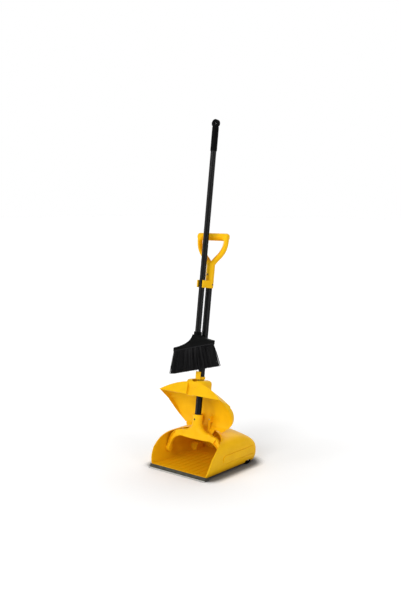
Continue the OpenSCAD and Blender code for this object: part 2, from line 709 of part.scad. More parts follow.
// The shoulder from the socket to a block's end, as shares of the way out and of the drop
head_shares = [[0, 0], [0.08, 0.62], [1, 1]];
function head_shoulder(end, side) = let (from = [side * head_socket_d / 2, head_top - block_edge],
    to = [side * end, block_z(side * end) + block_edge])
    [for (i = [0:head_steps]) let (p = bezier2(head_shares, i / head_steps))
        [from[0] + (to[0] - from[0]) * p[0], from[1] + (to[1] - from[1]) * p[1]]];
module head_outline() polygon(concat(
    reversed(head_shoulder(block_left, -1)), head_shoulder(block_right, 1),
    [[block_right, block_z(block_right)], [-block_left, block_z(-block_left)]]));
module broom_head() color(black) on_broom() difference() {
    union() {
        rotate([90, 0, 0]) linear_extrude(block_t, center = true) head_outline();
        translate([0, 0, head_top - socket_deep]) cylinder(d = head_socket_d, h = socket_deep);
    }
    translate([0, 0, head_top - socket_deep - ferrule_h])
        cylinder(d = broom_d + 2 * seat_gap, h = head_top);
}
// Threaded ferrule at the bottom of the head's socket
module head_ferrule() color(steel) on_broom() translate([0, 0, head_top - socket_deep - ferrule_h])
    difference() {
        cylinder(d = broom_d, h = ferrule_h - seat_gap);
        translate([0, 0, -overrun]) cylinder(d = broom_d - 4 * broom_wall, h = ferrule_h + 2 * overrun);
    }

// Bristles: a fan of three-sided strands fused to a slice of backing, one strand in each cell of a grid
strand_columns = 50;
strand_rows = 8;
strand_w = 2.3;
stagger_share = 0.1;
backing_t = 3;
fan_left = 10;
fan_right = 40;
fan_t = 35;
// Points under the backing: a runs from 0 to 1 along the head, b from -1 to 1 through its thickness
function backing_point(a, b) = let (x = -block_left + (block_left + block_right) * a)
    [x, block_t / 2 * b, block_z(x) - backing_t];
function tip_point(a, b) = let (x = -block_left - fan_left
    + (block_left + block_right + fan_left + fan_right) * a)
    [x, fan_t / 2 * b, block_z(x) - bristle_len / cos(head_slant) - backing_t];
function strand_across(i, j) = (i + 1 / 2 + stagger_share * (j % 2 - 1 / 2)) / strand_columns;
function strand_through(j) = (2 * j + 1) / strand_rows - 1;
function strand_corners(c, slant) = [for (k = [0:2]) let (d = strand_w / sqrt(3) * cos(120 * k))
    c + [d, strand_w / sqrt(3) * sin(120 * k), slant * d]];
module bristles() color(black) on_broom() {
    cells = [for (i = [0:strand_columns - 1], j = [0:strand_rows - 1]) [i, j]];
    grid = [for (i = [0:strand_columns], j = [0:strand_rows])
        backing_point(i / strand_columns, 2 * j / strand_rows - 1)];
    roots = [for (c = cells) each strand_corners(
        backing_point(strand_across(c[0], c[1]), strand_through(c[1])), slope)];
    tips = [for (c = cells) each strand_corners(
        tip_point(strand_across(c[0], c[1]), strand_through(c[1])), 0)];
    top = [for (p = [[0, -1], [1, -1], [1, 1], [0, 1]])
        backing_point(p[0], p[1]) + [0, 0, backing_t - seat_gap]];
    first_root = len(grid);
    first_tip = first_root + len(roots);
    first_top = first_tip + len(tips);
    across = strand_rows + 1;
    last = strand_columns * across;
    cell_faces = [for (n = [0:len(cells) - 1])
        let (g = cells[n][0] * across + cells[n][1], r = first_root + 3 * n, t = first_tip + 3 * n,
            h = g + across)
        each [[h, h + 1, r], [r, h + 1, r + 1], [h + 1, g + 1, r + 1], [g + 1, g, r + 2],
            [g + 1, r + 2, r + 1], [g, h, r + 2], [h, r, r + 2], [t, t + 1, t + 2],
            for (k = [0:2]) let (m = (k + 1) % 3) each [[r + k, r + m, t + m], [r + k, t + m, t + k]]]];
    side_faces = [
        [for (k = [3:-1:0]) first_top + k],
        [first_top, first_top + 1, for (i = [strand_columns:-1:0]) i * across],
        [first_top + 2, first_top + 3, for (i = [0:strand_columns]) i * across + strand_rows],
        [first_top + 3, first_top, for (j = [0:strand_rows]) j],
        [first_top + 1, first_top + 2, for (j = [strand_rows:-1:0]) last + j]];
    polyhedron(points = concat(grid, roots, tips, top), faces = concat(cell_faces, side_faces));
}

pan_shell();
lip_strip();
lip_blade();
wheel_left();
wheel_right();
axle_pins();
pivot_studs();
hinge_bracket();
bracket_rivets();
lid_hinge_pin();
lid_shell();
lid_hinge_arms();
arm_rivets();
yoke();
pivot_bushes();
handle_tube();
yoke_screw();
grip();
grip_screw();
broom_clip();
clip_screw();
tube_tab();
tab_rivet();
broom_tube();
broom_cap();
cap_pin();
broom_head();
head_ferrule();
bristles();
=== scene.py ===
# %% [markdown]
# A lobby dustpan with its broom. The solids come from the imported CAD model and are never moved, so every
# new piece is drawn straight into the same frame. All sizes below are millimetres, as a moulder would write
# them, and each finished mesh is scaled to metres once.

# %% Load the frame
import json
import math
import random

import bmesh
import bpy
from mathutils import Matrix, Vector


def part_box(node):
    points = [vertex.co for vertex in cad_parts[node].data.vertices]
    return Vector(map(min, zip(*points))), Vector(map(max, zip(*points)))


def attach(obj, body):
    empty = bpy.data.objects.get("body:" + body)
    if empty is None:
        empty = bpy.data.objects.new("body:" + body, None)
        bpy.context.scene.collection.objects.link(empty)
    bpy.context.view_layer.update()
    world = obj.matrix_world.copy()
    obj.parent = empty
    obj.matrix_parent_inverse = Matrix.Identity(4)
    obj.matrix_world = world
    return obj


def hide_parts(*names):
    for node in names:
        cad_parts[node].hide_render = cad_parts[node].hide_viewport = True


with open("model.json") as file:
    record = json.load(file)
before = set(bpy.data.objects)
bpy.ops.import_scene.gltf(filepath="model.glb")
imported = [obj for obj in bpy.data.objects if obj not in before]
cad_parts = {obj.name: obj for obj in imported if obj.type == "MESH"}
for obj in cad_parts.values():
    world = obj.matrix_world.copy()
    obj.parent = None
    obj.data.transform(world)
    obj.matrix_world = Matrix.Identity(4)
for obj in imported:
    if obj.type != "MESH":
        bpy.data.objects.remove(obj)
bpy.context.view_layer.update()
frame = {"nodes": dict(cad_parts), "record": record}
MM = 0.001

# %% [markdown]
# Shader maths reads best as plain arithmetic. The class below wraps one socket of a node tree. Adding or
# multiplying two of them puts a Math node into the tree, and its node method makes any other node. A
# material is then a few lines of sums, and the tree is still made of ordinary nodes.

# %% A socket that does arithmetic


class Signal:
    """One output socket of a node tree, with the operators that a material needs."""

    def __init__(self, tree, socket):
        self.tree = tree
        self.socket = socket

    def node(self, kind, settings=None, **sockets):
        """Adds a node of that kind, with its settings made first, and returns its first output."""
        made = self.tree.nodes.new(kind)
        for name, value in (settings or {}).items():
            setattr(made, name, value)
        for name, value in sockets.items():
            key = int(name[1:]) if name[0] == "_" else name.replace("_", " ")
            if isinstance(value, Signal):
                self.tree.links.new(value.socket, made.inputs[key])
            else:
                made.inputs[key].default_value = value
        return Signal(self.tree, made.outputs[0])

    def out(self, name):
        """Another output of the same node."""
        return Signal(self.tree, self.socket.node.outputs[name])

    def maths(self, operation, first, second=0.0):
        return self.node("ShaderNodeMath", {"operation": operation}, _0=first, _1=second)

    def __add__(self, other):
        return self.maths("ADD", self, other)

    def __radd__(self, other):
        return self.maths("ADD", other, self)

    def __sub__(self, other):
        return self.maths("SUBTRACT", self, other)

    def __rsub__(self, other):
        return self.maths("SUBTRACT", other, self)

    def __mul__(self, other):
        return self.maths("MULTIPLY", self, other)

    def __rmul__(self, other):
        return self.maths("MULTIPLY", other, self)

    def stretched(self, scale):
        """This place, with each axis scaled, so that a pattern runs along one of them."""
        return self.node("ShaderNodeMapping", _0=self, Scale=scale)

    def noise(self, size, detail=3.0):
        """Soft noise from 0 to 1 with blotches of about that many millimetres."""
        return self.node("ShaderNodeTexNoise", Vector=self, Scale=1 / (size * MM), Detail=detail)

    def between(self, low, high):
        """0 below low, 1 above high, and a smooth step from one to the other."""
        return self.node("ShaderNodeMapRange", {"interpolation_type": "SMOOTHSTEP"}, Value=self,
                         From_Min=low, From_Max=high)

    def mix(self, low, high):
        """The colour low where this is 0 and high where it is 1."""
        return self.node("ShaderNodeMix", {"data_type": "RGBA"}, _0=self, _6=low, _7=high).out(2)

    def bump(self, depth, strength=1.0):
        """A surface normal that rises by depth millimetres where this is 1."""
        return self.node("ShaderNodeBump", Strength=strength, Distance=depth * MM, Height=self)


def new_material(name, **constants):
    """An empty Principled material: gives the material, the place on its surface and its shader node."""
    material = bpy.data.materials.new(name)
    material.use_nodes = True
    tree = material.node_tree
    shader = tree.nodes["Principled BSDF"]
    for socket, value in constants.items():
        shader.inputs[socket.replace("_", " ")].default_value = value
    place = Signal(tree, tree.nodes.new("ShaderNodeTexCoord").outputs["Object"])
    return material, place, shader


def feed(shader, **signals):
    """Links signals to sockets of the shader by name."""
    for socket, signal in signals.items():
        signal.tree.links.new(signal.socket, shader.inputs[socket.replace("_", " ")])


print("shader helper ready")

# %% [markdown]
# The yellow parts are injection-moulded polypropylene. Moulded plastic is never one flat colour: the
# pigment clouds a little, the texture of the mould gives a fine grain, and handling leaves hair scratches
# that are slightly duller than the rest. Three scales of noise on the object's own coordinates give all of
# that, and they stay fixed to the piece when it moves. Low down, on the pan's floor and the foot of its
# walls, a deeper orange is painted in as shade.

# %% Yellow plastic
# Heights over which the painted shade low on the pan fades out
SHADED_BELOW, UNSHADED_ABOVE = 0.012, 0.03


def opaque(*rgb):
    return (*rgb, 1.0)


def yellow_plastic():
    material, place, shader = new_material("yellow_plastic", Specular_IOR_Level=0.07, Coat_Roughness=0.3)
    cloud = place.noise(60).between(0.3, 0.7)
    grain = place.noise(0.7, 2.0)
    scratch = place.stretched((1.0, 0.08, 1.0)).noise(1.6, 4.0).between(0.66, 0.74)
    colour = cloud.mix(opaque(0.875, 0.468, 0.004), opaque(0.94, 0.527, 0.006))
    worn = (scratch * 0.35).mix(colour, opaque(0.95, 0.6, 0.05))
    # Painted shade: below these heights, on the pan's floor and the foot of its walls, the yellow turns a
    # deeper orange
    height = place.node("ShaderNodeSeparateXYZ", Vector=place).out("Z")
    low_shade = (1 - height.between(SHADED_BELOW, UNSHADED_ABOVE)) * (0.6 + cloud * 0.25)
    low_shaded_colour = low_shade.mix(worn, opaque(0.78, 0.385, 0.003))
    feed(shader, Base_Color=low_shaded_colour, Roughness=0.33 + cloud * 0.07 + scratch * 0.12,
         Coat_Weight=0.01 + cloud * 0.02, Normal=(grain * 0.6 - scratch * 0.4).bump(0.06, 0.5))
    return material


materials = {"yellow_plastic": yellow_plastic()}
print("made", list(materials))

# %% [markdown]
# The wheels, the broom's head and its cap are black moulded plastic with a satin skin, and both tubes are
# thin steel with a smooth black plastic coat. The coat was drawn on lengthwise, so its faint streaks run
# along the tube, which is nearly along Z: the noise is squeezed on that axis. Grey dust lightens the black
# a little.

# %% Black plastic and black tube


def black_plastic():
    material, place, shader = new_material("black_plastic", Specular_IOR_Level=0.03)
    dust = place.noise(25).between(0.45, 0.8)
    grain = place.noise(0.9, 2.0)
    feed(shader, Base_Color=dust.mix(opaque(0.0015, 0.0016, 0.0016), opaque(0.006, 0.006, 0.0058)),
         Roughness=0.42 + dust * 0.14, Normal=grain.bump(0.08, 0.5))
    return material


def black_tube():
    material, place, shader = new_material("black_tube", Specular_IOR_Level=0.11, Coat_Roughness=0.08)
    streak = place.stretched((1.0, 1.0, 0.02)).noise(2.2, 4.0)
    rub = place.noise(40).between(0.5, 0.75)
    dull = streak.between(0.35, 0.75)
    feed(shader, Base_Color=dull.mix(opaque(0.002, 0.002, 0.0022), opaque(0.006, 0.006, 0.0065)),
         Roughness=0.06 + streak * 0.08 + rub * 0.05, Coat_Weight=0.02 - rub * 0.01,
         Normal=streak.bump(0.05, 0.35))
    return material


materials["black_plastic"] = black_plastic()
materials["black_tube"] = black_tube()
print("made", list(materials))

# %% [markdown]
# The lip is soft dark rubber, matt and a little chalky where it rubs the floor, and a pale flexible strip
# forms its front edge. The pins and rivets are zinc-plated steel with a crystalline bloom, and the screws
# are blackened. Small as they are, they get their own finishes, because they catch the light differently.

# %% Rubber, wiping edge and metal


def grey_rubber():
    material, place, shader = new_material("grey_rubber", Specular_IOR_Level=0.12)
    chalk = place.stretched((0.2, 1.0, 1.0)).noise(5).between(0.42, 0.7)
    pores = place.noise(0.8, 2.0)
    feed(shader, Base_Color=chalk.mix(opaque(0.047, 0.046, 0.036), opaque(0.085, 0.083, 0.066)),
         Roughness=0.62 + chalk * 0.2, Normal=pores.bump(0.15, 0.6))
    return material


def pale_plastic():
    material, place, shader = new_material("pale_plastic", Specular_IOR_Level=0.4)
    soil = place.stretched((0.15, 1.0, 1.0)).noise(4).between(0.5, 0.75)
    feed(shader, Base_Color=soil.mix(opaque(0.66, 0.66, 0.63), opaque(0.42, 0.41, 0.38)),
         Roughness=0.4 + soil * 0.2, Normal=soil.bump(0.05, 0.4))
    return material


def steel():
    material, place, shader = new_material("steel", Metallic=1.0)
    bloom = place.noise(2.5).between(0.35, 0.7)
    feed(shader, Base_Color=bloom.mix(opaque(0.5, 0.51, 0.53), opaque(0.66, 0.66, 0.64)),
         Roughness=0.28 + bloom * 0.15, Normal=bloom.bump(0.03, 0.4))
    return material


def dark_steel():
    material, place, shader = new_material("dark_steel", Metallic=0.7)
    oil = place.noise(2.0).between(0.4, 0.7)
    feed(shader, Base_Color=oil.mix(opaque(0.025, 0.025, 0.026), opaque(0.07, 0.065, 0.06)),
         Roughness=0.36 + oil * 0.15, Normal=oil.bump(0.03, 0.4))
    return material


def bristle():
    material, place, shader = new_material("bristle", Specular_IOR_Level=0.1)
    strand = place.stretched((1.0, 1.0, 0.05)).noise(1.4, 2.0).between(0.35, 0.7)
    feed(shader, Base_Color=strand.mix(opaque(0.003, 0.003, 0.0035), opaque(0.012, 0.0115, 0.0125)),
         Roughness=0.36 + strand * 0.2, Normal=strand.bump(0.05, 0.4))
    return material


for make in (grey_rubber, pale_plastic, steel, dark_steel, bristle):
    materials[make.__name__] = make()
print("made", list(materials))

# %% [markdown]
# The CAD nodes whose shape is already right stay, with the finish that the record names for each of them.
# They arrive as loose flat triangles, and a small node group makes them look moulded: it merges their
# corners and shades them smooth, except across edges that turn by more than a set angle. The mesh itself is
# left alone.

# %% Finish the CAD nodes
SHARP_ANGLE, MERGE_GAP = math.radians(32), 0.005


def moulded_edges():
    """A node group that welds a mesh and shades it smooth up to the sharp angle."""
    group = bpy.data.node_groups.new("moulded_edges", "GeometryNodeTree")
    for way in ("INPUT", "OUTPUT"):
        group.interface.new_socket("Mesh", in_out=way, socket_type="NodeSocketGeometry")
    start = Signal(group, group.nodes.new("NodeGroupInput").outputs[0])
    welded = start.node("GeometryNodeMergeByDistance", Geometry=start, Distance=MERGE_GAP * MM)
    smooth = start.node("GeometryNodeSetShadeSmooth", {"domain": "FACE"}, Geometry=welded, Shade_Smooth=True)
    angle = start.node("GeometryNodeInputMeshEdgeAngle")
    soft = start.maths("LESS_THAN", angle, SHARP_ANGLE)
    done = start.node("GeometryNodeSetShadeSmooth", {"domain": "EDGE"}, Geometry=smooth, Shade_Smooth=soft)
    end = group.nodes.new("NodeGroupOutput")
    group.links.new(done.socket, end.inputs[0])
    return group


edges_group = moulded_edges()
slot_of = {part["node"]: part["material_slot"] for part in frame["record"]["subparts"]}
for name, node in frame["nodes"].items():
    node.data.materials.clear()
    node.data.materials.append(materials[slot_of[name]])
    node.modifiers.new("moulded_edges", "NODES").node_group = edges_group
print("finished", len(slot_of), "CAD nodes")

# %% [markdown]
# New pieces all go the same way: a bmesh is shaped in millimetres, turned into an object, cut or joined
# with other solids by Boolean modifiers that are applied at once, and then given its finish and its body. A
# curved sheet starts as a flat grid whose corners are laid on a formula, so the mesh stays in clean quads.

# %% Helpers for new pieces
# Corners to merge, what counts as level, the gap of a fit, and how far a cutting solid runs past its cut
DOUBLES, WELD, LEVEL, FIT_GAP, CUT_OVER, BORE_OVER = 0.001, 0.003, 0.01, 0.05, 2, 5
HALVINGS = 30
SIDES = (1, -1)
ALONG_X = Matrix.Rotation(math.pi / 2, 4, "Y")
UPRIGHT = Matrix.Rotation(math.pi / 2, 4, "X")


def draped_grid(shape, across, along, place):
    """A grid of the unit square, with every corner laid where place(a, b) says."""
    for corner in bmesh.ops.create_grid(shape, x_segments=across, y_segments=along, size=0.5)["verts"]:
        corner.co = place(corner.co.x + 0.5, corner.co.y + 0.5)


def close_holes(shape):
    """Merges doubles, fills what is still open with flat faces and turns all faces outwards."""
    bmesh.ops.remove_doubles(shape, verts=shape.verts, dist=DOUBLES)
    bmesh.ops.holes_fill(shape, edges=[e for e in shape.edges if e.is_boundary], sides=0)
    bmesh.ops.recalc_face_normals(shape, faces=shape.faces)


def to_object(shape, name, matrix=None):
    """An object made of a bmesh in millimetres, put in place by the matrix and scaled to metres."""
    if matrix is not None:
        bmesh.ops.transform(shape, matrix=matrix, verts=shape.verts)
    bmesh.ops.scale(shape, vec=(MM, MM, MM), verts=shape.verts)
    mesh = bpy.data.meshes.new(name)
    shape.to_mesh(mesh)
    shape.free()
    piece = bpy.data.objects.new(name, mesh)
    bpy.context.scene.collection.objects.link(piece)
    return piece


def apply_modifiers(piece):
    """Makes what the modifiers show the piece's own mesh."""
    shown = piece.evaluated_get(bpy.context.evaluated_depsgraph_get())
    mesh = bpy.data.meshes.new_from_object(shown)
    piece.modifiers.clear()
    old = piece.data
    piece.data = mesh
    bpy.data.meshes.remove(old)
    mesh.name = piece.name


def weld(piece):
    """Merges the corners that a Boolean left on top of each other."""
    shape = bmesh.new()
    shape.from_mesh(piece.data)
    bmesh.ops.remove_doubles(shape, verts=shape.verts, dist=WELD * MM)
    bmesh.ops.dissolve_degenerate(shape, edges=shape.edges, dist=WELD * MM)
    shape.to_mesh(piece.data)
    shape.free()


def combine(piece, operation, *tools):
    """Joins or cuts the piece with each tool in turn, and removes the tools."""
    for tool in tools:
        step = piece.modifiers.new("combine", "BOOLEAN")
        step.operation = operation
        step.solver = "EXACT"
        step.object = tool
        apply_modifiers(piece)
        weld(piece)
        bpy.data.objects.remove(tool)


def finish_piece(piece, body, slot, *nodes):
    """Smooth shading, a finish and a body to ride on, and hides the CAD nodes that the piece stands for."""
    piece.data.shade_smooth()
    piece.data.set_sharp_from_angle(angle=SHARP_ANGLE)
    piece.data.materials.clear()
    piece.data.materials.append(materials[slot])
    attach(piece, body)
    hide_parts(*nodes)
    print(piece.name, "has", len(piece.data.polygons), "faces")


def bezier(points, share):
    """A point of the curve with these control points, by repeated halving of their chain."""
    while len(points) > 1:
        points = [a.lerp(b, share) for a, b in zip(points, points[1:])]
    return points[0]


def smooth_step(share):
    """0 below 0, 1 above 1, and a smooth rise between them."""
    share = min(1, max(0, share))
    return share * share * (3 - 2 * share)


def halve(low, high, before):
    """Where before(place) stops being true between low and high, by halving the range."""
    for _ in range(HALVINGS):
        middle = (low + high) / 2
        if before(middle):
            low = middle
        else:
            high = middle
    return low


def drum(radius, length, segments, place):
    """A closed drum that stands along Z until the matrix puts it in place."""
    shape = bmesh.new()
    bmesh.ops.create_cone(shape, cap_ends=True, segments=segments, radius1=radius, radius2=radius,
                          depth=length, matrix=place)
    return shape


def trim(shape, point, normal):
    """Cuts off what lies beyond a plane, on the side of its normal, and closes the cut."""
    bmesh.ops.bisect_plane(shape, geom=shape.verts[:] + shape.edges[:] + shape.faces[:], plane_co=point,
                           plane_no=normal, clear_outer=True)
    close_holes(shape)


def edges_above(shape, height):
    return [e for e in shape.edges if all(v.co.z > height for v in e.verts)]


def edges_across(shape, axis):
    """The edges that stay level on one axis."""
    return [e for e in shape.edges if abs(e.verts[0].co[axis] - e.verts[1].co[axis]) < LEVEL]


def round_edges(shape, edges, width, segments, clamp=False):
    bmesh.ops.bevel(shape, geom=edges, offset=width, affect="EDGES", segments=segments, profile=0.5,
                    material=-1, clamp_overlap=clamp)


print("piece helpers ready")

# %% [markdown]
# The pan is one moulding with an even wall. Its cross-section is a flat floor, bulging walls and a low
# arched roof. The mouth's rim runs back along that section, and towards the back the roof falls in a
# quarter ellipse and the corners round off. A grid wrapped around the section, with its first row on the
# rim, gives the outer skin without any cutting, and Solidify then gives the wall its thickness inwards.

# %% Pan: section, rim and outline from above
mouth_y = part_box("pan_shell")[0].y / MM
PAN_HALF, PAN_DEPTH, PAN_TOP, FLOOR_LOW, PAN_WALL = 145, 320, 145, 9, 3
BACK_TOP, CORNER_R, FALL_Y, KNEE_Y, APEX_Y, RIM_POWER = 60, 32, 180, 25, 172, 1.6
RISE = PAN_TOP - FLOOR_LOW
# Shares of half the width and of the rise: the wall, the shoulder and half the roof
SECTION = (
    [Vector((0.91, 0)), Vector((1, 0.154)), Vector((1, 0.485))],
    [Vector((1, 0.485)), Vector((0.997, 0.706)), Vector((0.952, 0.846)), Vector((0.745, 0.886))],
    [Vector((0.745, 0.886)), Vector((0.317, 1)), Vector((0, 1))],
)
SECTION_END = len(SECTION)
KNEE_SHARE = SECTION[0][2].y
FOOT_SHARE = SECTION[0][0].x


def section(u):
    """A point of the section: u climbs the wall from 0 to 1, the shoulder to 2 and the roof to 3."""
    stretch = min(int(u), SECTION_END - 1)
    return bezier(SECTION[stretch], u - stretch)


def roof_rim(out):
    """How far back the rim lies over the walls, at a share of half the width."""
    return KNEE_Y + (APEX_Y - KNEE_Y) * math.sqrt(max(0, 1 - out * out))


def rim(u):
    """A point of the mouth's rim on the outer face."""
    out, up = section(u)
    back = KNEE_Y * (up / KNEE_SHARE) ** RIM_POWER if u < 1 else roof_rim(out)
    return Vector((PAN_HALF * out, back, FLOOR_LOW + RISE * up))


def pan_top(y):
    fall = max(0, y - FALL_Y) / (PAN_DEPTH - FALL_Y)
    return BACK_TOP + (PAN_TOP - BACK_TOP) * math.sqrt(max(0, 1 - fall * fall))


def pan_half(y):
    turn = max(0, y - PAN_DEPTH + CORNER_R)
    return PAN_HALF - CORNER_R + math.sqrt(max(0, CORNER_R ** 2 - turn ** 2))


print("rim runs back", round(rim(SECTION_END).y), "mm under the crown")

# %% Pan: the skin and its wall
FLOOR_STEPS, SECTION_STEPS, PAN_ROWS = 6, 42, 30
STRAIGHT_SHARE, BACK_NEAR = 0.5, 1
RIM_ROUND, RIM_ANGLE = 0.9, math.radians(50)
IN_FRAME = Matrix.Translation((0, mouth_y, 0))


def on_pan(a, b):
    """Round the section from the floor's middle and back to it with a, from the mouth to the back with b."""
    side = 1 if a <= 0.5 else -1
    step = 2 * min(a, 1 - a) * (FLOOR_STEPS + SECTION_STEPS)
    u = min(SECTION_END * max(0, step - FLOOR_STEPS) / SECTION_STEPS, SECTION_END)
    out, up = section(u)
    start = rim(u).y
    if step < FLOOR_STEPS:
        out *= step / FLOOR_STEPS
    if b < STRAIGHT_SHARE:
        y = start + (FALL_Y - start) * b / STRAIGHT_SHARE
    else:
        turn = math.pi / 2 * (b - STRAIGHT_SHARE) / (1 - STRAIGHT_SHARE)
        y = FALL_Y + (PAN_DEPTH - FALL_Y) * math.sin(turn)
    return Vector((side * pan_half(y) * out, y, FLOOR_LOW + (pan_top(y) - FLOOR_LOW) * up))


shape = bmesh.new()
draped_grid(shape, 2 * (FLOOR_STEPS + SECTION_STEPS), PAN_ROWS, on_pan)
bmesh.ops.remove_doubles(shape, verts=shape.verts, dist=DOUBLES)
back = PAN_DEPTH - BACK_NEAR
back_edges = [e for e in shape.edges if e.is_boundary and min(v.co.y for v in e.verts) > back]
bmesh.ops.holes_fill(shape, edges=back_edges, sides=0)
bmesh.ops.recalc_face_normals(shape, faces=shape.faces)
pan = to_object(shape, "pan_moulding", IN_FRAME)
shell = pan.modifiers.new("wall", "SOLIDIFY")
shell.thickness = PAN_WALL * MM
shell.offset = -1
shell.use_even_offset = True
rounding = pan.modifiers.new("rim", "BEVEL")
rounding.width = RIM_ROUND * MM
rounding.segments = 2
rounding.angle_limit = RIM_ANGLE
apply_modifiers(pan)
weld(pan)
print("pan skin has", len(pan.data.polygons), "faces")

# %% [markdown]
# The same moulding has a raised panel with round ends on each side wall, a housing over each wheel and nine
# low ribs on the floor. Each is a small closed solid that dips into the wall, so that a Boolean union
# leaves one clean skin. The panel is a circle pulled out to a long round-ended plate, stepped inwards twice
# for a soft edge, and then pushed out onto the bulge of the wall.

# %% Pan: side panels, floor ribs and wheel wells
PANEL_H, PANEL_Z, PANEL_Y, PANEL_PROUD, PANEL_SUNK, GROOVE_W = 31, 56.5, 91, 1.6, 1.2, 1.6
# The rings of a plate from its foot to its middle, as inset and rise
GROOVE_RINGS = ((0.05, 2 * PANEL_SUNK + PANEL_PROUD), (5, 0), (5, 0))
PANEL_RINGS = ((0.05, PANEL_SUNK), (0.3, PANEL_PROUD), (4, 0), (5, 0))
RIB_COUNT, RIB_W, RIB_H, RIB_SPREAD, RIB_ROUND, BEAD_R = 9, 2, 1.2, 0.78, 0.5, 2.2
WHEEL_R, WHEEL_W, WELL_GAP, AXLE_INSET, WHEEL_PROUD, HOUSING_SUNK = 17, 20, 3, 58, 3, 0.5
WELL_PAST, NOTCH_OVER = 0.6, 0.5
ROUND_STEPS, BEAD_STEPS = 48, 20
AXLE_Y = PAN_DEPTH - AXLE_INSET
WHEEL_X = PAN_HALF * FOOT_SHARE + WHEEL_PROUD - WHEEL_W / 2


def wall_x(z):
    """Half width of the outer wall at a height below the bulge."""
    return PAN_HALF * section(halve(0.0, 1.0, lambda u: FLOOR_LOW + RISE * section(u).y < z)).x


def side_panel(side, grow, rings):
    """A plate with round ends on the side wall, built up ring by ring from inside the wall."""
    shape = bmesh.new()
    r = PANEL_H / 2 + grow
    run = PAN_DEPTH - CORNER_R - PANEL_Y - PANEL_H
    foot = bmesh.ops.create_circle(shape, cap_ends=True, segments=ROUND_STEPS, radius=r)["verts"]
    for corner in foot:
        along = corner.co.x + (run if corner.co.x > 0 else 0)
        corner.co = Vector((-PANEL_SUNK, PANEL_Y + PANEL_H / 2 + along, PANEL_Z + corner.co.y))
    plate = shape.faces[:]
    for inset, rise in rings:
        bmesh.ops.inset_region(shape, faces=plate, thickness=inset, use_even_offset=True, use_boundary=True)
        bmesh.ops.translate(shape, vec=(rise, 0, 0), verts=plate[0].verts)
    for corner in shape.verts:
        corner.co.x = side * (corner.co.x + wall_x(corner.co.z))
    close_holes(shape)
    return to_object(shape, "panel", IN_FRAME)


def wheel_drum(side, radius, inner, outer):
    """A short drum across the wheel's place, from one x to another."""
    shape = drum(radius, outer - inner, ROUND_STEPS, Matrix())
    bmesh.ops.rotate(shape, matrix=ALONG_X.to_3x3(), verts=shape.verts)
    bmesh.ops.translate(shape, vec=(side * (inner + outer) / 2, AXLE_Y, WHEEL_R), verts=shape.verts)
    return shape


def wheel_housing(side):
    """The drum over a wheel, trimmed inside the floor and along the slope of the wall."""
    inner = WHEEL_X - WHEEL_W / 2 - WELL_GAP - PAN_WALL
    shape = wheel_drum(side, WHEEL_R + WELL_GAP + PAN_WALL, inner, PAN_HALF)
    top = 2 * WHEEL_R + 2 * WELL_GAP
    low = Vector((side * (wall_x(FLOOR_LOW) - HOUSING_SUNK), 0, FLOOR_LOW))
    high = Vector((side * (wall_x(top) - HOUSING_SUNK), 0, top))
    slope = high - low
    trim(shape, low, Vector((side * slope.z, 0, -side * slope.x)))
    trim(shape, Vector((0, 0, FLOOR_LOW + PAN_WALL / 2)), Vector((0, 0, -1)))
    return to_object(shape, "housing", IN_FRAME)


def floor_rib(place_x):
    shape = bmesh.new()
    length = AXLE_Y - WHEEL_R - 2 * WELL_GAP
    size = Matrix.Diagonal((RIB_W, length, PAN_WALL / 2 + RIB_H, 1))
    middle = (place_x, PAN_WALL + length / 2, FLOOR_LOW + PAN_WALL + (RIB_H - PAN_WALL / 2) / 2)
    bmesh.ops.create_cube(shape, size=1, matrix=Matrix.Translation(middle) @ size)
    round_edges(shape, edges_above(shape, middle[2]), RIB_ROUND, 2)
    return to_object(shape, "rib", IN_FRAME)


def well(side):
    """The room of a wheel, behind the wall."""
    inner = WHEEL_X - WHEEL_W / 2 - WELL_GAP
    outer = WHEEL_X + WHEEL_W / 2 + WELL_PAST
    return to_object(wheel_drum(side, WHEEL_R + WELL_GAP, inner, outer), "well", IN_FRAME)


def notch(side):
    """The opening through the wall, up to the wheel's axle."""
    shape = wheel_drum(side, WHEEL_R + WELL_GAP, WHEEL_X, PAN_HALF + BORE_OVER)
    trim(shape, (0, 0, WHEEL_R + NOTCH_OVER), (0, 0, 1))
    return to_object(shape, "notch", IN_FRAME)


def front_bead():
    """The rounded front edge of the floor, behind the lip."""
    half = PAN_HALF * FOOT_SHARE - PAN_WALL / 2
    place = Matrix.Translation((0, BEAD_R, FLOOR_LOW + PAN_WALL)) @ ALONG_X
    return to_object(drum(BEAD_R, 2 * half, BEAD_STEPS, place), "bead", IN_FRAME)


# The exact Boolean solver keeps the wall whole in this order: ribs, round solids, panels, wells
rib_pitch = 2 * PAN_HALF * FOOT_SHARE * RIB_SPREAD / (RIB_COUNT - 1)
combine(pan, "UNION", *[floor_rib((i - (RIB_COUNT - 1) / 2) * rib_pitch) for i in range(RIB_COUNT)])
combine(pan, "UNION", front_bead(), *[wheel_housing(side) for side in SIDES])
for side in SIDES:
    combine(pan, "DIFFERENCE", side_panel(side, GROOVE_W, GROOVE_RINGS))
    combine(pan, "UNION", side_panel(side, 0, PANEL_RINGS))
combine(pan, "DIFFERENCE", *[well(side) for side in SIDES], *[notch(side) for side in SIDES])
finish_piece(pan, "pan", "yellow_plastic", "pan_shell")

# %% [markdown]
# A thin pale strip wipes the floor ahead of the rubber lip. It is a flat box, drawn a little deeper than
# the CAD strip so that it reads as the light line under the lip, with its front edges rounded off.

# %% Wiping edge
lip_low, lip_high = [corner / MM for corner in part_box("lip_blade")]
EDGE_AHEAD, EDGE_H, EDGE_ROUND = 4, 2, 0.6

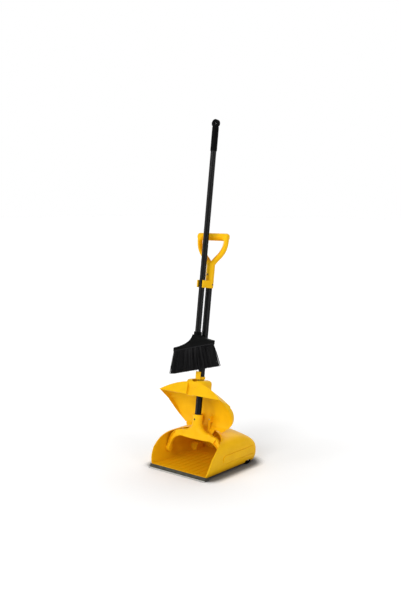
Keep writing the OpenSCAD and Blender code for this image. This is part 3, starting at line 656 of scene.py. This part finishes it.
shape = bmesh.new()
size = Vector((lip_high.x - lip_low.x, lip_high.y - lip_low.y + EDGE_AHEAD, EDGE_H))
middle = Vector((0, lip_high.y - size.y / 2, EDGE_H / 2))
bmesh.ops.create_cube(shape, size=1, matrix=Matrix.Translation(middle) @ Matrix.Diagonal((*size, 1)))
front = [e for e in shape.edges if all(v.co.y < middle.y for v in e.verts)]
round_edges(shape, front, EDGE_ROUND, 2)
wiper = to_object(shape, "wiping_edge")
finish_piece(wiper, "pan", "pale_plastic", "lip_blade")

# %% [markdown]
# The lid is an arched canopy that fits over the mouth's rim. It is drawn shut, as rings that stand on the
# rim, and then swung open about its hinge. Its front is a flat end with a channel for the tube, and a
# turret with a slot surrounds the tube. An outer and an inner solid are lofted from the same formula, and
# the difference of the two is the wall.

# %% Lid: rings on the rim
LID_WALL, LID_ARCH, LID_SWING, LID_FLARE, LID_LAP, LID_AHEAD = 2.5, 58, 96.5, 11.7, 16.5, 3.2
FRONT_U, LAP_U, PEAK_U, LAP_END_U, HINGE_U, FLARE_U = 0.14, 0.3, 0.8, 2.02, 2.04, 0.88
FRONT_ARCH, HINGE_ARCH, FALL_POWER, SKIRT_OVER = 0.9, 0.04, 1.3, 1.3
RIM_GAP, HINGE_AHEAD, HINGE_DROP, HOLLOW_PAST, HOLLOW_BELOW = 0.8, 17, 21, 2, 12
LID_OFFSET = LID_WALL + RIM_GAP
HINGE_Y, HINGE_Z = APEX_Y - HINGE_AHEAD, PAN_TOP - HINGE_DROP
STEP_U, FADE_U = 0.01, 0.3
ARCH_STEPS, CHORD_STEPS, LID_ROWS = 40, 6, 48
RING_STEPS = ARCH_STEPS + 2 + CHORD_STEPS
AT_HINGE = IN_FRAME @ Matrix.Translation((0, HINGE_Y, HINGE_Z))
SWUNG = (AT_HINGE @ Matrix.Rotation(math.radians(-LID_SWING), 4, "X")
         @ Matrix.Translation((0, -HINGE_Y, -HINGE_Z)))


def section_normal(u):
    across = section(u + STEP_U) - section(u - STEP_U)
    return Vector((RISE * across.y, -PAN_HALF * across.x)).normalized()


def lid_back(u):
    """How far the lid's edge lies behind the rim: ahead of it at the tips, lapping the walls further up."""
    if u < LAP_U:
        return -LID_AHEAD * (LAP_U - u) / (LAP_U - FRONT_U)
    return LID_LAP * math.sin(math.pi * min(1, (u - LAP_U) / (LAP_END_U - LAP_U)))


def lid_foot(u):
    edge = rim(u)
    return Vector((edge.y + lid_back(u), edge.z + LID_OFFSET * section_normal(u).y))


def lid_along(u):
    return (lid_foot(u + STEP_U) - lid_foot(u - STEP_U)).normalized()


def lid_height(u):
    if u < PEAK_U:
        return LID_ARCH * (1 - (1 - FRONT_ARCH) * (PEAK_U - u) / (PEAK_U - FRONT_U))
    return LID_ARCH * (1 - (1 - HINGE_ARCH) * ((u - PEAK_U) / (HINGE_U - PEAK_U)) ** FALL_POWER)


def lid_solid(name, inset, front_shift, hinge_shift, depth):
    """The canopy as a closed solid, set in from the outside, its open side lowered by depth."""

    def on_lid(a, b):
        row, k = round(b * LID_ROWS), round(a * RING_STEPS) % RING_STEPS
        u = FRONT_U + (HINGE_U - FRONT_U) * row / LID_ROWS
        along = lid_along(u)
        out = Vector((-along.y, along.x))
        fade = max(0, 1 - (u - FRONT_U) / FADE_U)
        shift = front_shift * fade + (hinge_shift if row == LID_ROWS else 0)
        flare = LID_FLARE * max(0, 1 - (u - FRONT_U) / FLARE_U) ** 2
        half = rim(u).x + LID_OFFSET * section_normal(u).x - inset + flare
        skirt = SKIRT_OVER * max(0, lid_back(u)) * along.y
        high = max(lid_height(u) - inset - skirt, 0)
        if 1 <= k <= ARCH_STEPS + 1:
            x = math.cos(math.pi * (k - 1) / ARCH_STEPS)
            rise = skirt + high * (1 - x * x)
        else:
            x = 1 if k == 0 else 2 * (k - ARCH_STEPS - 2) / CHORD_STEPS - 1
            rise = -depth
        spot = lid_foot(u) + along * shift + out * rise
        return Vector((half * x, spot.x, spot.y))

    shape = bmesh.new()
    draped_grid(shape, RING_STEPS, LID_ROWS, on_lid)
    close_holes(shape)
    return to_object(shape, name, SWUNG)


lid = lid_solid("lid_moulding", 0, 0, 0, FIT_GAP)
hollow = lid_solid("hollow", LID_WALL, LID_WALL, HOLLOW_PAST, HOLLOW_BELOW)
print("lid's outer and inner solids made")

# %% Lid: channel, turret and slot
CHANNEL_LOW, CHANNEL_HIGH, CHANNEL_DEEP = 28, 56, 9
HANDLE_LEAN, PIVOT_Y, PIVOT_Z = 7.8, 98, 52
TURRET_W, TURRET_TOP, TURRET_FRONT, TURRET_BACK, TURRET_LOW = 94, 288, 44, 25, 70
TURRET_ROUND, TURRET_EDGE, SLOT_W = 24, 14, 43.2
ON_HANDLE = (IN_FRAME @ Matrix.Translation((0, PIVOT_Y, PIVOT_Z))
             @ Matrix.Rotation(math.radians(-HANDLE_LEAN), 4, "X"))


def extruded(outline, low, high):
    """A solid between two heights over an outline of (x, y) points."""
    shape = bmesh.new()
    ring = [shape.verts.new((x, y, low)) for x, y in outline]
    face = shape.faces.new(ring)
    made = bmesh.ops.extrude_face_region(shape, geom=[face])["geom"]
    raised = [v for v in made if isinstance(v, bmesh.types.BMVert)]
    bmesh.ops.translate(shape, vec=(0, 0, high - low), verts=raised)
    bmesh.ops.recalc_face_normals(shape, faces=shape.faces)
    return shape


def channel(grow):
    along, foot = lid_along(FRONT_U), lid_foot(FRONT_U)
    low, high = CHANNEL_LOW / 2 + grow, CHANNEL_HIGH / 2 + grow
    plan = [(-low, CUT_OVER), (low, CUT_OVER), (high, -LID_ARCH), (-high, -LID_ARCH)]
    shape = extruded(plan, -CUT_OVER, CHANNEL_DEEP + grow)
    turn = Matrix.Translation((0, foot.x, foot.y)) @ Matrix.Rotation(math.atan2(-along.x, along.y), 4, "X")
    return to_object(shape, "channel", SWUNG @ turn)


def round_plan(half_w, front, back, radius):
    """Corners of a rectangle with round corners, seen from above."""
    points = []
    for i in range(ROUND_STEPS):
        angle = 2 * math.pi * (i + 0.5) / ROUND_STEPS
        x, y = math.cos(angle), math.sin(angle)
        points.append((math.copysign(half_w - radius, x) + radius * x,
                       (back - radius if y > 0 else radius - front) + radius * y))
    return points


def turret(inset):
    plan = round_plan(TURRET_W / 2 - inset, TURRET_FRONT - inset, TURRET_BACK - inset, TURRET_ROUND - inset)
    top = TURRET_TOP - inset
    shape = extruded(plan, TURRET_TOP - TURRET_LOW - inset, top)
    round_edges(shape, edges_above(shape, top - LEVEL), TURRET_EDGE - inset, 6)
    return to_object(shape, "turret", ON_HANDLE)


def tube_slot():
    r = SLOT_W / 2
    plan = round_plan(r, TURRET_FRONT - LID_WALL, TURRET_BACK - LID_WALL, r)
    shape = extruded(plan, TURRET_TOP - TURRET_ROUND - CUT_OVER, TURRET_TOP + CUT_OVER)
    return to_object(shape, "slot", ON_HANDLE)


combine(lid, "DIFFERENCE", channel(0))
combine(lid, "UNION", turret(0))
combine(hollow, "DIFFERENCE", channel(LID_WALL))
combine(lid, "DIFFERENCE", hollow, turret(LID_WALL), tube_slot())
finish_piece(lid, "lid", "yellow_plastic", "lid_shell")

# %% [markdown]
# Two slim webs carry the lid on its hinge pin, and a curved leaf hangs from the lid's back edge. In the
# middle the leaf reaches down in front of the hinge and hides it, and at the sides it ends just above the
# arched roof. The leaf is a thin sheet on a grid, thickened by Solidify, and the webs are flat outlines
# with a round barrel.

# %% Lid: hinge leaf and webs
HINGE_R, PIN_D, WEB_X, WEB_T, BARREL_W = 5.5, 5, 25, 6, 14.4
WEB_OUTLINE = ((0, -5.5), (0, 0.5), (-45, 0.5), (-45, 16), (-69, 16), (-69, 0.5), (-57, -5.5))
LEAF_HALF, TONGUE_HALF, TONGUE_BLEND, LEAF_T, LEAF_GAP, LEAF_CLEAR = 97, 44, 8, 2, 3, 2.5
LEAF_PATH = [Vector((12.5, 26.5)), Vector((-3, 14)), Vector((-9.5, -3))]
PIN_GAP, BARREL_STEPS, LEAF_COLUMNS, LEAF_ROWS = 0.06, 32, 80, 16
SIDEWAYS = Matrix(((0, 0, 1, 0), (1, 0, 0, 0), (0, 1, 0, 0), (0, 0, 0, 1)))


def roof_z(x):
    """Height of the roof's outer face at a half width."""
    u = halve(SECTION_END - 1, SECTION_END, lambda u: PAN_HALF * section(u).x > x)
    return FLOOR_LOW + RISE * section(u).y


def leaf_end(x):
    """How far along its path the leaf reaches at a half width: clear of the roof, open and shut."""
    lowest = max(roof_z(x) + LEAF_GAP - HINGE_Z, HINGE_Y - roof_rim(x / PAN_HALF) + LEAF_CLEAR)
    beside = halve(0.0, 1.0, lambda share: bezier(LEAF_PATH, share).y > lowest)
    return 1 + (beside - 1) * smooth_step((x - TONGUE_HALF) / TONGUE_BLEND)


def on_leaf(a, b):
    x = LEAF_HALF * (2 * a - 1)
    spot = bezier(LEAF_PATH, b * leaf_end(abs(x)))
    return Vector((x, spot.x, spot.y))


def web(side):
    shape = extruded(WEB_OUTLINE, side * WEB_X - WEB_T / 2, side * WEB_X + WEB_T / 2)
    hinge = Matrix.Translation((0, HINGE_Y, HINGE_Z)) @ SIDEWAYS
    return to_object(shape, "hinge_webs", SWUNG @ hinge)


def barrel(side, radius, half):
    place = Matrix.Translation((side * WEB_X, 0, 0)) @ ALONG_X
    return to_object(drum(radius, 2 * half, BARREL_STEPS, place), "barrel", AT_HINGE)


shape = bmesh.new()
draped_grid(shape, LEAF_COLUMNS, LEAF_ROWS, on_leaf)
bmesh.ops.recalc_face_normals(shape, faces=shape.faces)
leaf = to_object(shape, "hinge_leaf", AT_HINGE)
sheet = leaf.modifiers.new("thickness", "SOLIDIFY")
sheet.thickness = LEAF_T * MM
sheet.offset = 0
apply_modifiers(leaf)
finish_piece(leaf, "lid", "yellow_plastic")
webs = web(1)
combine(webs, "UNION", web(-1), *[barrel(side, HINGE_R, BARREL_W / 2) for side in SIDES])
combine(webs, "DIFFERENCE", *[barrel(side, PIN_D / 2 + PIN_GAP, BARREL_W) for side in SIDES])
finish_piece(webs, "lid", "yellow_plastic", "lid_hinge_arms")

# %% [markdown]
# The yoke is a moulded fork: a socket for the tube flows down into two arched arms that end in eyes on the
# pan's studs. The flat outline comes from the same curves as the CAD, its edges are rounded as a mould
# needs them, and the round socket is blended into the flat fork by a loft whose section changes from a
# circle to a flat oval.

# %% Yoke
SOCKET_D, SOCKET_TOP, YOKE_T, TUBE_D, STUD_D = 38, 154, 16, 25, 12
NECK = [Vector((0.5, 0.78)), Vector((0.56, 0.6)), Vector((1.9, 0.56))]
ARCH_LOW, SHOULDER_Z, SHOULDER_X, EYE_W, EYE_T, BUSH_T, ARM_GAP = 60, 82, 80, 14, 6, 2, 5
ARM_X = PAN_HALF - PAN_WALL - ARM_GAP
ARM_INNER = ARM_X - EYE_W
ARCH_X = SHOULDER_X - EYE_W
SCREW_Z, SCREW_D = 136, 4
NECK_DEEP, CAP_T, GROOVE_EDGE, GROOVE_DEEP, GROOVE_FROM, GROOVE_SPAN = 14, 1.5, 2.4, 6.2, 22, 52
FORK_ROUND, NECK_ROUND, EYE_ROUND = 2.5, 1.2, 1.5
YOKE_STEPS, NECK_SIDES, NECK_ROWS, EYE_STEPS, SCREW_STEPS = 24, 72, 40, 40, 24


def neck_point(share):
    spot = bezier(NECK, share)
    return Vector((SOCKET_D * spot.x, SOCKET_TOP * spot.y))


def arm_edges(turns, sunk):
    """Down the outer edge of an arm and back up its inner edge, both set in by sunk."""
    outer = [Vector((SHOULDER_X - sunk + (ARM_X - SHOULDER_X) * math.sin(t),
                     (SHOULDER_Z - sunk) * math.cos(t))) for t in turns]
    inner = [Vector((ARCH_X + sunk + (ARM_INNER - ARCH_X) * math.sin(t),
                     (ARCH_LOW + sunk) * math.cos(t))) for t in reversed(turns)]
    return outer + inner


def yoke_outline():
    turns = [math.pi / 2 * i / YOKE_STEPS for i in range(YOKE_STEPS + 1)]
    right = [neck_point(i / YOKE_STEPS) for i in range(YOKE_STEPS + 1)] + arm_edges(turns, 0)
    return right + [Vector((-p.x, p.y)) for p in reversed(right)]


def drum_across(radius, low, high):
    """A drum along X between two x."""
    return drum(radius, high - low, EYE_STEPS, Matrix.Translation(((low + high) / 2, 0, 0)) @ ALONG_X)


def drum_up(radius, low, high, segments=ROUND_STEPS):
    """A drum along Z between two heights."""
    return drum(radius, high - low, segments, Matrix.Translation((0, 0, (low + high) / 2)))


def fork():
    shape = extruded(yoke_outline(), -YOKE_T / 2, YOKE_T / 2)
    round_edges(shape, edges_across(shape, 2), FORK_ROUND, 4)
    return to_object(shape, "yoke_moulding", ON_HANDLE @ UPRIGHT)


def neck():
    """The blend from the round socket to the flat fork."""
    flat_z, round_z = ARCH_LOW, SOCKET_TOP * NECK[0].y

    def half_width(z):
        return neck_point(halve(0.0, 1.0, lambda share: neck_point(share).y > z)).x

    def on_neck(a, b):
        z = flat_z + (SOCKET_TOP - flat_z) * b
        blend = smooth_step((z - flat_z) / (round_z - flat_z))
        half = half_width(z) if z < round_z else SOCKET_D / 2
        deep = NECK_DEEP + (SOCKET_D / 2 - NECK_DEEP) * blend
        angle = 2 * math.pi * a
        return Vector((half * math.cos(angle), deep * math.sin(angle), z))

    def on_cap(edge):
        """Whether an edge lies between a cap, which has many corners, and a face of the wall."""
        first, second = [len(face.verts) for face in edge.link_faces]
        return edge.verts[0].co.z == edge.verts[1].co.z and first != second

    shape = bmesh.new()
    draped_grid(shape, NECK_SIDES, NECK_ROWS, on_neck)
    close_holes(shape)
    round_edges(shape, [e for e in shape.edges if on_cap(e)], NECK_ROUND, 3)
    return to_object(shape, "neck", ON_HANDLE)


def arm_groove(side, face):
    """The sunk web along an arm, between its two raised edges."""
    turns = [math.radians(GROOVE_FROM + GROOVE_SPAN * i / YOKE_STEPS) for i in range(YOKE_STEPS + 1)]
    outline = [Vector((side * p.x, p.y)) for p in arm_edges(turns, GROOVE_EDGE)]
    low, high = sorted((face * (YOKE_T / 2 - GROOVE_DEEP), face * (YOKE_T / 2 + CUT_OVER)))
    return to_object(extruded(outline, low, high), "groove", ON_HANDLE @ UPRIGHT)


def eye(side):
    low, high = sorted((side * (ARM_INNER - CAP_T), side * ARM_X))
    shape = drum_across(STUD_D / 2 + EYE_T, low, high)
    round_edges(shape, edges_across(shape, 0), EYE_ROUND, 3)
    return to_object(shape, "eye", ON_HANDLE)


def eye_bore(side):
    low, high = sorted((side * (ARM_INNER - FIT_GAP), side * (ARM_X + CUT_OVER)))
    return to_object(drum_across(STUD_D / 2 + BUSH_T, low, high), "bore", ON_HANDLE)


def screw_bore(z, reach):
    """The hole of a screw that enters from the front of a socket."""
    place = Matrix.Translation((0, 0, z)) @ UPRIGHT
    return to_object(drum_up(SCREW_D / 2 + FIT_GAP, 0, reach, SCREW_STEPS), "screw_bore", ON_HANDLE @ place)


def tube_bore(diameter, low, high, place, gap=FIT_GAP):
    return to_object(drum_up(diameter / 2 + gap, low, high), "tube_bore", place)


yoke = fork()
combine(yoke, "DIFFERENCE", *[arm_groove(side, face) for side in SIDES for face in SIDES])
combine(yoke, "UNION", neck(), *[eye(side) for side in SIDES])
combine(yoke, "DIFFERENCE", *[eye_bore(side) for side in SIDES], screw_bore(SCREW_Z, SOCKET_D),
        tube_bore(TUBE_D, ARCH_LOW + PAN_WALL, SOCKET_TOP + BORE_OVER, ON_HANDLE))
finish_piece(yoke, "handle", "yellow_plastic", "yoke")

# %% [markdown]
# The grip is a D: a socket on the tube, two bowed arms and a crossbar. The inner edge of the D is serrated
# with small teeth, so that a gloved hand doesn't slip. A tube is swept along the arm's curve on a grid, the
# bar is a grid rolled up around its axis, and the teeth are a ripple of the radius on the inner side alone.

# %% Grip
GRIP_Z, GRIP_SOCKET, GRIP_REACH, GRIP_W, BAR_D, GRIP_D, CLIP_H = 640, 100, 194, 147, 26, 32, 28
ARM_D, ARM_T, BAR_ROUND, GRIP_SCREW_UP, GRIP_ROUND = 21, 24, 9, 24, 7
TOOTH_PITCH, ARM_TOOTH, BAR_TOOTH, BAR_FADE = 3.4, 6, 3, 2
TOOTH_ACROSS, TOOTH_INWARD, TOOTH_POWER = 0.6, 0.8, 1.4
# Where the teeth of an arm start and end, as shares of its length, and how soon they fade in and out
TEETH_FROM, TEETH_TO, FADE_IN, FADE_OUT = 0.2, 0.97, 0.06, 0.04
BAR_TALL, BAR_LIFT = 1.12, 2.5
ARM_SHARES = [Vector((0, 0.4)), Vector((0.2, 0.62)), Vector((1.04, 0.62)), Vector((0.985, 1))]
GRIP_ROWS, GRIP_SIDES, LENGTH_STEPS = 320, 28, 200


def arm_point(t):
    spot = bezier(ARM_SHARES, t)
    return Vector(((GRIP_W - ARM_D) / 2 * spot.x, GRIP_Z + GRIP_REACH * spot.y))


arm_stops = [arm_point(i / LENGTH_STEPS) for i in range(LENGTH_STEPS + 1)]
arm_length = sum((b - a).length for a, b in zip(arm_stops, arm_stops[1:]))


def tooth(along, across, inward):
    """Depth of the serration, from 0 to 1: along the edge, and round it on its inner front and back."""
    slot = 0.5 - 0.5 * math.cos(2 * math.pi * along / TOOTH_PITCH)
    return slot * max(0, TOOTH_ACROSS * abs(across) + TOOTH_INWARD * inward) ** TOOTH_POWER


def grip_arm(side):
    def on_arm(a, b):
        along = (arm_point(min(b + STEP_U, 1)) - arm_point(max(b - STEP_U, 0))).normalized()
        outward = Vector((along.y, -along.x))
        angle = 2 * math.pi * a
        toothed = max(0, min(1, (b - TEETH_FROM) / FADE_IN, (TEETH_TO - b) / FADE_OUT))
        depth = ARM_TOOTH * toothed * tooth(b * arm_length, math.sin(angle), -math.cos(angle))
        reach = ARM_D / 2 * math.cos(angle) + depth
        spot = arm_point(b) + outward * reach
        return Vector((side * spot.x, ARM_T / 2 * math.sin(angle), spot.y))

    shape = bmesh.new()
    draped_grid(shape, GRIP_SIDES, GRIP_ROWS, on_arm)
    close_holes(shape)
    return to_object(shape, "arm", ON_HANDLE)


def crossbar():
    """The bar with its rounded ends, serrated underneath between the arms."""
    half = GRIP_W / 2

    def on_bar(a, b):
        x, angle = half * (2 * b - 1), 2 * math.pi * a
        past = max(0, abs(x) - half + BAR_ROUND)
        radius = BAR_D / 2 - BAR_ROUND + math.sqrt(BAR_ROUND ** 2 - past ** 2)
        toothed = max(0, min(1, (half - ARM_D - abs(x)) / BAR_FADE))
        radius -= BAR_TOOTH * toothed * tooth(x, math.cos(angle), -math.sin(angle))
        return Vector((x, radius * math.cos(angle), radius * math.sin(angle)))

    shape = bmesh.new()
    draped_grid(shape, GRIP_SIDES, GRIP_ROWS, on_bar)
    close_holes(shape)
    place = Matrix.Translation((0, 0, GRIP_Z + GRIP_REACH + BAR_LIFT)) @ Matrix.Diagonal((1, 1, BAR_TALL, 1))
    return to_object(shape, "bar", ON_HANDLE @ place)


def grip_socket():
    low, high = GRIP_Z + CLIP_H + FIT_GAP, GRIP_Z + GRIP_SOCKET
    shape = drum_up(GRIP_D / 2, low, high)
    round_edges(shape, edges_above(shape, high - LEVEL), GRIP_ROUND, 5)
    return to_object(shape, "grip_moulding", ON_HANDLE)


grip = grip_socket()
combine(grip, "UNION", *[grip_arm(side) for side in SIDES], crossbar())
combine(grip, "DIFFERENCE", screw_bore(GRIP_Z + CLIP_H + GRIP_SCREW_UP, GRIP_D),
        tube_bore(TUBE_D, GRIP_Z, GRIP_Z + GRIP_SOCKET - PAN_WALL, ON_HANDLE, 2 * FIT_GAP))
finish_piece(grip, "handle", "yellow_plastic", "grip")

# %% [markdown]
# The broom's head is a slanted block that rises to a socket in two hollow curves. Its outline is drawn
# flat, given its thickness and rounded along every edge, and the socket is joined to it.

# %% Broom head
BROOM_GAP, BROOM_D, HEAD_TOP, HEAD_SLANT = 44, 22, 472, 14.7
BLOCK_LEFT, BLOCK_RIGHT, BLOCK_T, BLOCK_DROP, BLOCK_EDGE = 103, 74, 28, 57, 12
HEAD_SOCKET_D, SOCKET_DEEP, FERRULE_H, HEAD_ROUND, SOCKET_ROUND = 29.5, 34, 10, 2.2, 1.5
HEAD_SHARES = [Vector((0, 0)), Vector((0.08, 0.62)), Vector((1, 1))]
HEAD_STEPS = 20
SLOPE = math.tan(math.radians(HEAD_SLANT))
ON_BROOM = ON_HANDLE @ Matrix.Translation((0, -BROOM_GAP, 0))


def block_z(x):
    return HEAD_TOP - BLOCK_DROP + SLOPE * x


def head_shoulder(end):
    """The upper edge from the socket out to one end of the block."""
    start = Vector((math.copysign(HEAD_SOCKET_D / 2, end), HEAD_TOP - BLOCK_EDGE))
    stop = Vector((end, block_z(end) + BLOCK_EDGE))
    shares = [bezier(HEAD_SHARES, i / HEAD_STEPS) for i in range(HEAD_STEPS + 1)]
    return [Vector((start.x + (stop.x - start.x) * s.x, start.y + (stop.y - start.y) * s.y)) for s in shares]


def head_block():
    outline = list(reversed(head_shoulder(-BLOCK_LEFT))) + head_shoulder(BLOCK_RIGHT)
    outline += [Vector((end, block_z(end))) for end in (BLOCK_RIGHT, -BLOCK_LEFT)]
    shape = extruded(outline, -BLOCK_T / 2, BLOCK_T / 2)
    round_edges(shape, shape.edges[:], HEAD_ROUND, 3, clamp=True)
    return to_object(shape, "head_moulding", ON_BROOM @ UPRIGHT)


def head_socket():
    shape = drum_up(HEAD_SOCKET_D / 2, HEAD_TOP - SOCKET_DEEP, HEAD_TOP)
    round_edges(shape, edges_above(shape, HEAD_TOP - LEVEL), SOCKET_ROUND, 3)
    return to_object(shape, "head_socket", ON_BROOM)


head = head_block()
combine(head, "UNION", head_socket())
bore_low = HEAD_TOP - SOCKET_DEEP - FERRULE_H
combine(head, "DIFFERENCE", tube_bore(BROOM_D, bore_low, HEAD_TOP + BORE_OVER, ON_BROOM))
finish_piece(head, "broom", "black_plastic", "broom_head")

# %% [markdown]
# The bristles are what makes the broom a broom. The CAD has four hundred stiff prisms, and this piece has
# nearly two thousand fine strands instead. Each is a three-sided grid rolled up around its own curve,
# closed to a point at both ends, a little longer or shorter and bent a little differently from its
# neighbours. A seeded random generator keeps the fan the same on every run.

# %% Bristles
BRISTLE_LEN, BACKING_T, FAN_LEFT, FAN_RIGHT, FAN_T = 85, 3, 10, 40, 35
STRAND_COLUMNS, STRAND_ROWS, STRAND_SIDES, STRAND_R, ROOT_DEEP = 132, 14, 3, 0.62, 1.5
STRAND_SHARES = (0, 0.01, 0.4, 0.75, 0.98, 1)
STRAND_RADII = (0, 1, 1, 0.9, 0.7, 0)
STRAND_DROP = BRISTLE_LEN / math.cos(math.radians(HEAD_SLANT))
# How far chance moves a strand: within its cell, at its tip, in its length and in its bend
JITTER, TIP_X, TIP_Y, LONGER, SHORTER, SWAY = 0.3, 1.6, 1.2, 0.5, 3, 1.4
END_MARGIN, FACE_SHARE, POINT_WELD = 0.008, 0.93, 0.0005
draw = random.Random(7)


def chance(reach):
    return draw.uniform(-reach, reach)


def backing_point(a, b):
    x = -BLOCK_LEFT + (BLOCK_LEFT + BLOCK_RIGHT) * a
    return Vector((x, BLOCK_T / 2 * b, block_z(x) - BACKING_T))


def tip_point(a, b):
    x = -BLOCK_LEFT - FAN_LEFT + (BLOCK_LEFT + BLOCK_RIGHT + FAN_LEFT + FAN_RIGHT) * a
    return Vector((x, FAN_T / 2 * b, block_z(x) - BACKING_T - STRAND_DROP))


def strand(shape, a, b):
    """One strand, from inside the backing to its tip."""
    tip = tip_point(a, b) + Vector((chance(TIP_X), chance(TIP_Y), draw.uniform(-LONGER, SHORTER)))
    root = backing_point(a, b)
    root += (root - tip).normalized() * ROOT_DEEP
    sway = Vector((chance(SWAY), chance(SWAY), 0))
    turn = draw.uniform(0, 2 * math.pi)

    def on_strand(across, along):
        row = round(along * (len(STRAND_SHARES) - 1))
        share, radius = STRAND_SHARES[row], STRAND_R * STRAND_RADII[row]
        angle = turn + 2 * math.pi * round(STRAND_SIDES * across) / STRAND_SIDES
        spot = root.lerp(tip, share) + sway * 4 * share * (1 - share)
        return spot + radius * Vector((math.cos(angle), math.sin(angle), 0))

    draped_grid(shape, STRAND_SIDES, len(STRAND_SHARES) - 1, on_strand)


shape = bmesh.new()
for i in range(STRAND_COLUMNS):
    for j in range(STRAND_ROWS):
        a = (i + 0.5 + chance(JITTER)) / STRAND_COLUMNS
        b = (j + 0.5 + chance(JITTER)) / STRAND_ROWS
        strand(shape, a * (1 - 2 * END_MARGIN) + END_MARGIN, (b * 2 - 1) * FACE_SHARE)
bmesh.ops.remove_doubles(shape, verts=shape.verts, dist=POINT_WELD)
for corner in bmesh.ops.create_cube(shape, size=2)["verts"]:
    low = backing_point((corner.co.x + 1) / 2, corner.co.y)
    corner.co = low + Vector((0, 0, BACKING_T - FIT_GAP if corner.co.z > 0 else 0))
bmesh.ops.recalc_face_normals(shape, faces=shape.faces)
fan = to_object(shape, "bristle_fan", ON_BROOM)
finish_piece(fan, "broom", "bristle", "bristles")

# %% [markdown]
# The set stands on a plain pale floor in soft light. The camera sees the floor and the world as white,
# through the Light Path node, while the lamps stay at a plain level. The floor glows less near the object,
# and where an Ambient Occlusion node finds the pan close, the floor's colour and glow are darkened: a
# painted contact shadow around its foot, on top of the lamps' own. One broad sun comes from the front and
# a broader one from behind, and two tall strips give the black tubes their long highlights.

# %% Floor, world and lamps
FLOOR_HALF, FLOOR_SUNK, FLOOR_CLOUD, FLOOR_DULL, FLOOR_PALE = 40, 0.1, 400, 0.9, 0.91
NEAR, FAR, NEAR_LIFT, FAR_LIFT, SKY_LEVEL = 0.2, 1.1, 0.15, 0.32, 0.4
SHADE_REACH, SHADE_FULL, SHADE_LEVEL, SHADE_SAMPLES = 0.06, 0.62, 0.16, 16
LAMP_TARGET = Vector((0, 0, 0.5))


def grey(level):
    return opaque(level, level, level)


def seen(tree):
    """1 for rays that show the background itself: straight from the camera, mirrored or through glass."""
    path = Signal(tree, tree.nodes.new("ShaderNodeLightPath").outputs["Is Camera Ray"])
    shown = path.maths("MAXIMUM", path, path.out("Is Glossy Ray"))
    return path.maths("MAXIMUM", shown, path.out("Is Transmission Ray"))


def studio_floor():
    shape = bmesh.new()
    bmesh.ops.create_grid(shape, x_segments=1, y_segments=1, size=FLOOR_HALF / MM)
    plate = to_object(shape, "floor", Matrix.Translation((0, 0, -FLOOR_SUNK)))
    material, place, shader = new_material("pale_floor", Roughness=0.9, Specular_IOR_Level=0.1,
                                           Emission_Strength=1.0)
    pale = place.noise(FLOOR_CLOUD).between(0.2, 0.8).mix(grey(FLOOR_DULL), grey(FLOOR_PALE))
    away = place.node("ShaderNodeVectorMath", {"operation": "LENGTH"}, _0=place).out("Value")
    glow = away.between(NEAR, FAR).mix(grey(NEAR_LIFT), grey(FAR_LIFT))
    # Painted shadow: where the pan stands close, the floor's colour falls to SHADE_LEVEL and its glow to
    # nothing
    free = place.node("ShaderNodeAmbientOcclusion", {"samples": SHADE_SAMPLES}, Distance=SHADE_REACH)
    open_floor = free.out("AO").between(SHADE_FULL, 1.0)
    feed(shader, Base_Color=open_floor.mix(grey(SHADE_LEVEL), pale),
         Emission_Color=(seen(place.tree) * open_floor).mix(grey(0), glow))
    plate.data.materials.append(material)


def studio_world():
    world = bpy.data.worlds.new("studio")
    world.use_nodes = True
    sky = world.node_tree.nodes["Background"]
    sky.inputs["Strength"].default_value = 1.0
    feed(sky, Color=seen(world.node_tree).mix(grey(SKY_LEVEL), grey(1)))
    bpy.context.scene.world = world


def lamp(name, kind, place, energy, **settings):
    light = bpy.data.lights.new(name, kind)
    light.energy = energy
    for setting, value in settings.items():
        setattr(light, setting, value)
    holder = bpy.data.objects.new(name, light)
    holder.location = place
    holder.rotation_euler = (LAMP_TARGET - Vector(place)).to_track_quat("-Z", "Y").to_euler()
    bpy.context.scene.collection.objects.link(holder)


studio_floor()
studio_world()
lamp("sun", "SUN", (0.41, -2.62, 1.9), 1.05, angle=math.radians(25))
lamp("top", "SUN", (-0.6, 1.3, 2.3), 0.9, angle=math.radians(60))
lamp("left_strip", "AREA", (-1.2, -2.6, 1.1), 24, shape="RECTANGLE", size=0.5, size_y=2.4)
lamp("right_strip", "AREA", (3.2, -0.6, 1.2), 20, shape="RECTANGLE", size=0.35, size_y=2.4)
print("stage and", len(bpy.data.lights), "lamps made")

# %% [markdown]
# The camera stands about three metres away, to the right of the mouth and a little above the grip, and
# looks slightly down. Its place was worked out from the straight edges of the pan and from the two upright
# tubes. The lens is given for the tall side of the frame, which is the vertical one here.

# %% Camera
CAMERA_PLACE = (1.9484, -2.4018, 1.0136)
CAMERA_DOWN, CAMERA_TURN = math.radians(6.87), math.radians(39.3)
FILM, FOCAL_SHARE = 36, 818 / 601

camera = bpy.data.objects.new("camera", bpy.data.cameras.new("camera"))
camera.data.sensor_fit = "VERTICAL"
camera.data.sensor_height = FILM
camera.data.lens = FILM * FOCAL_SHARE
camera.location = CAMERA_PLACE
camera.rotation_euler = (math.pi / 2 - CAMERA_DOWN, 0, CAMERA_TURN)
bpy.context.scene.collection.objects.link(camera)
bpy.context.scene.camera = camera
bpy.context.scene.view_settings.view_transform = "Standard"
print("lens", round(camera.data.lens, 1), "mm")
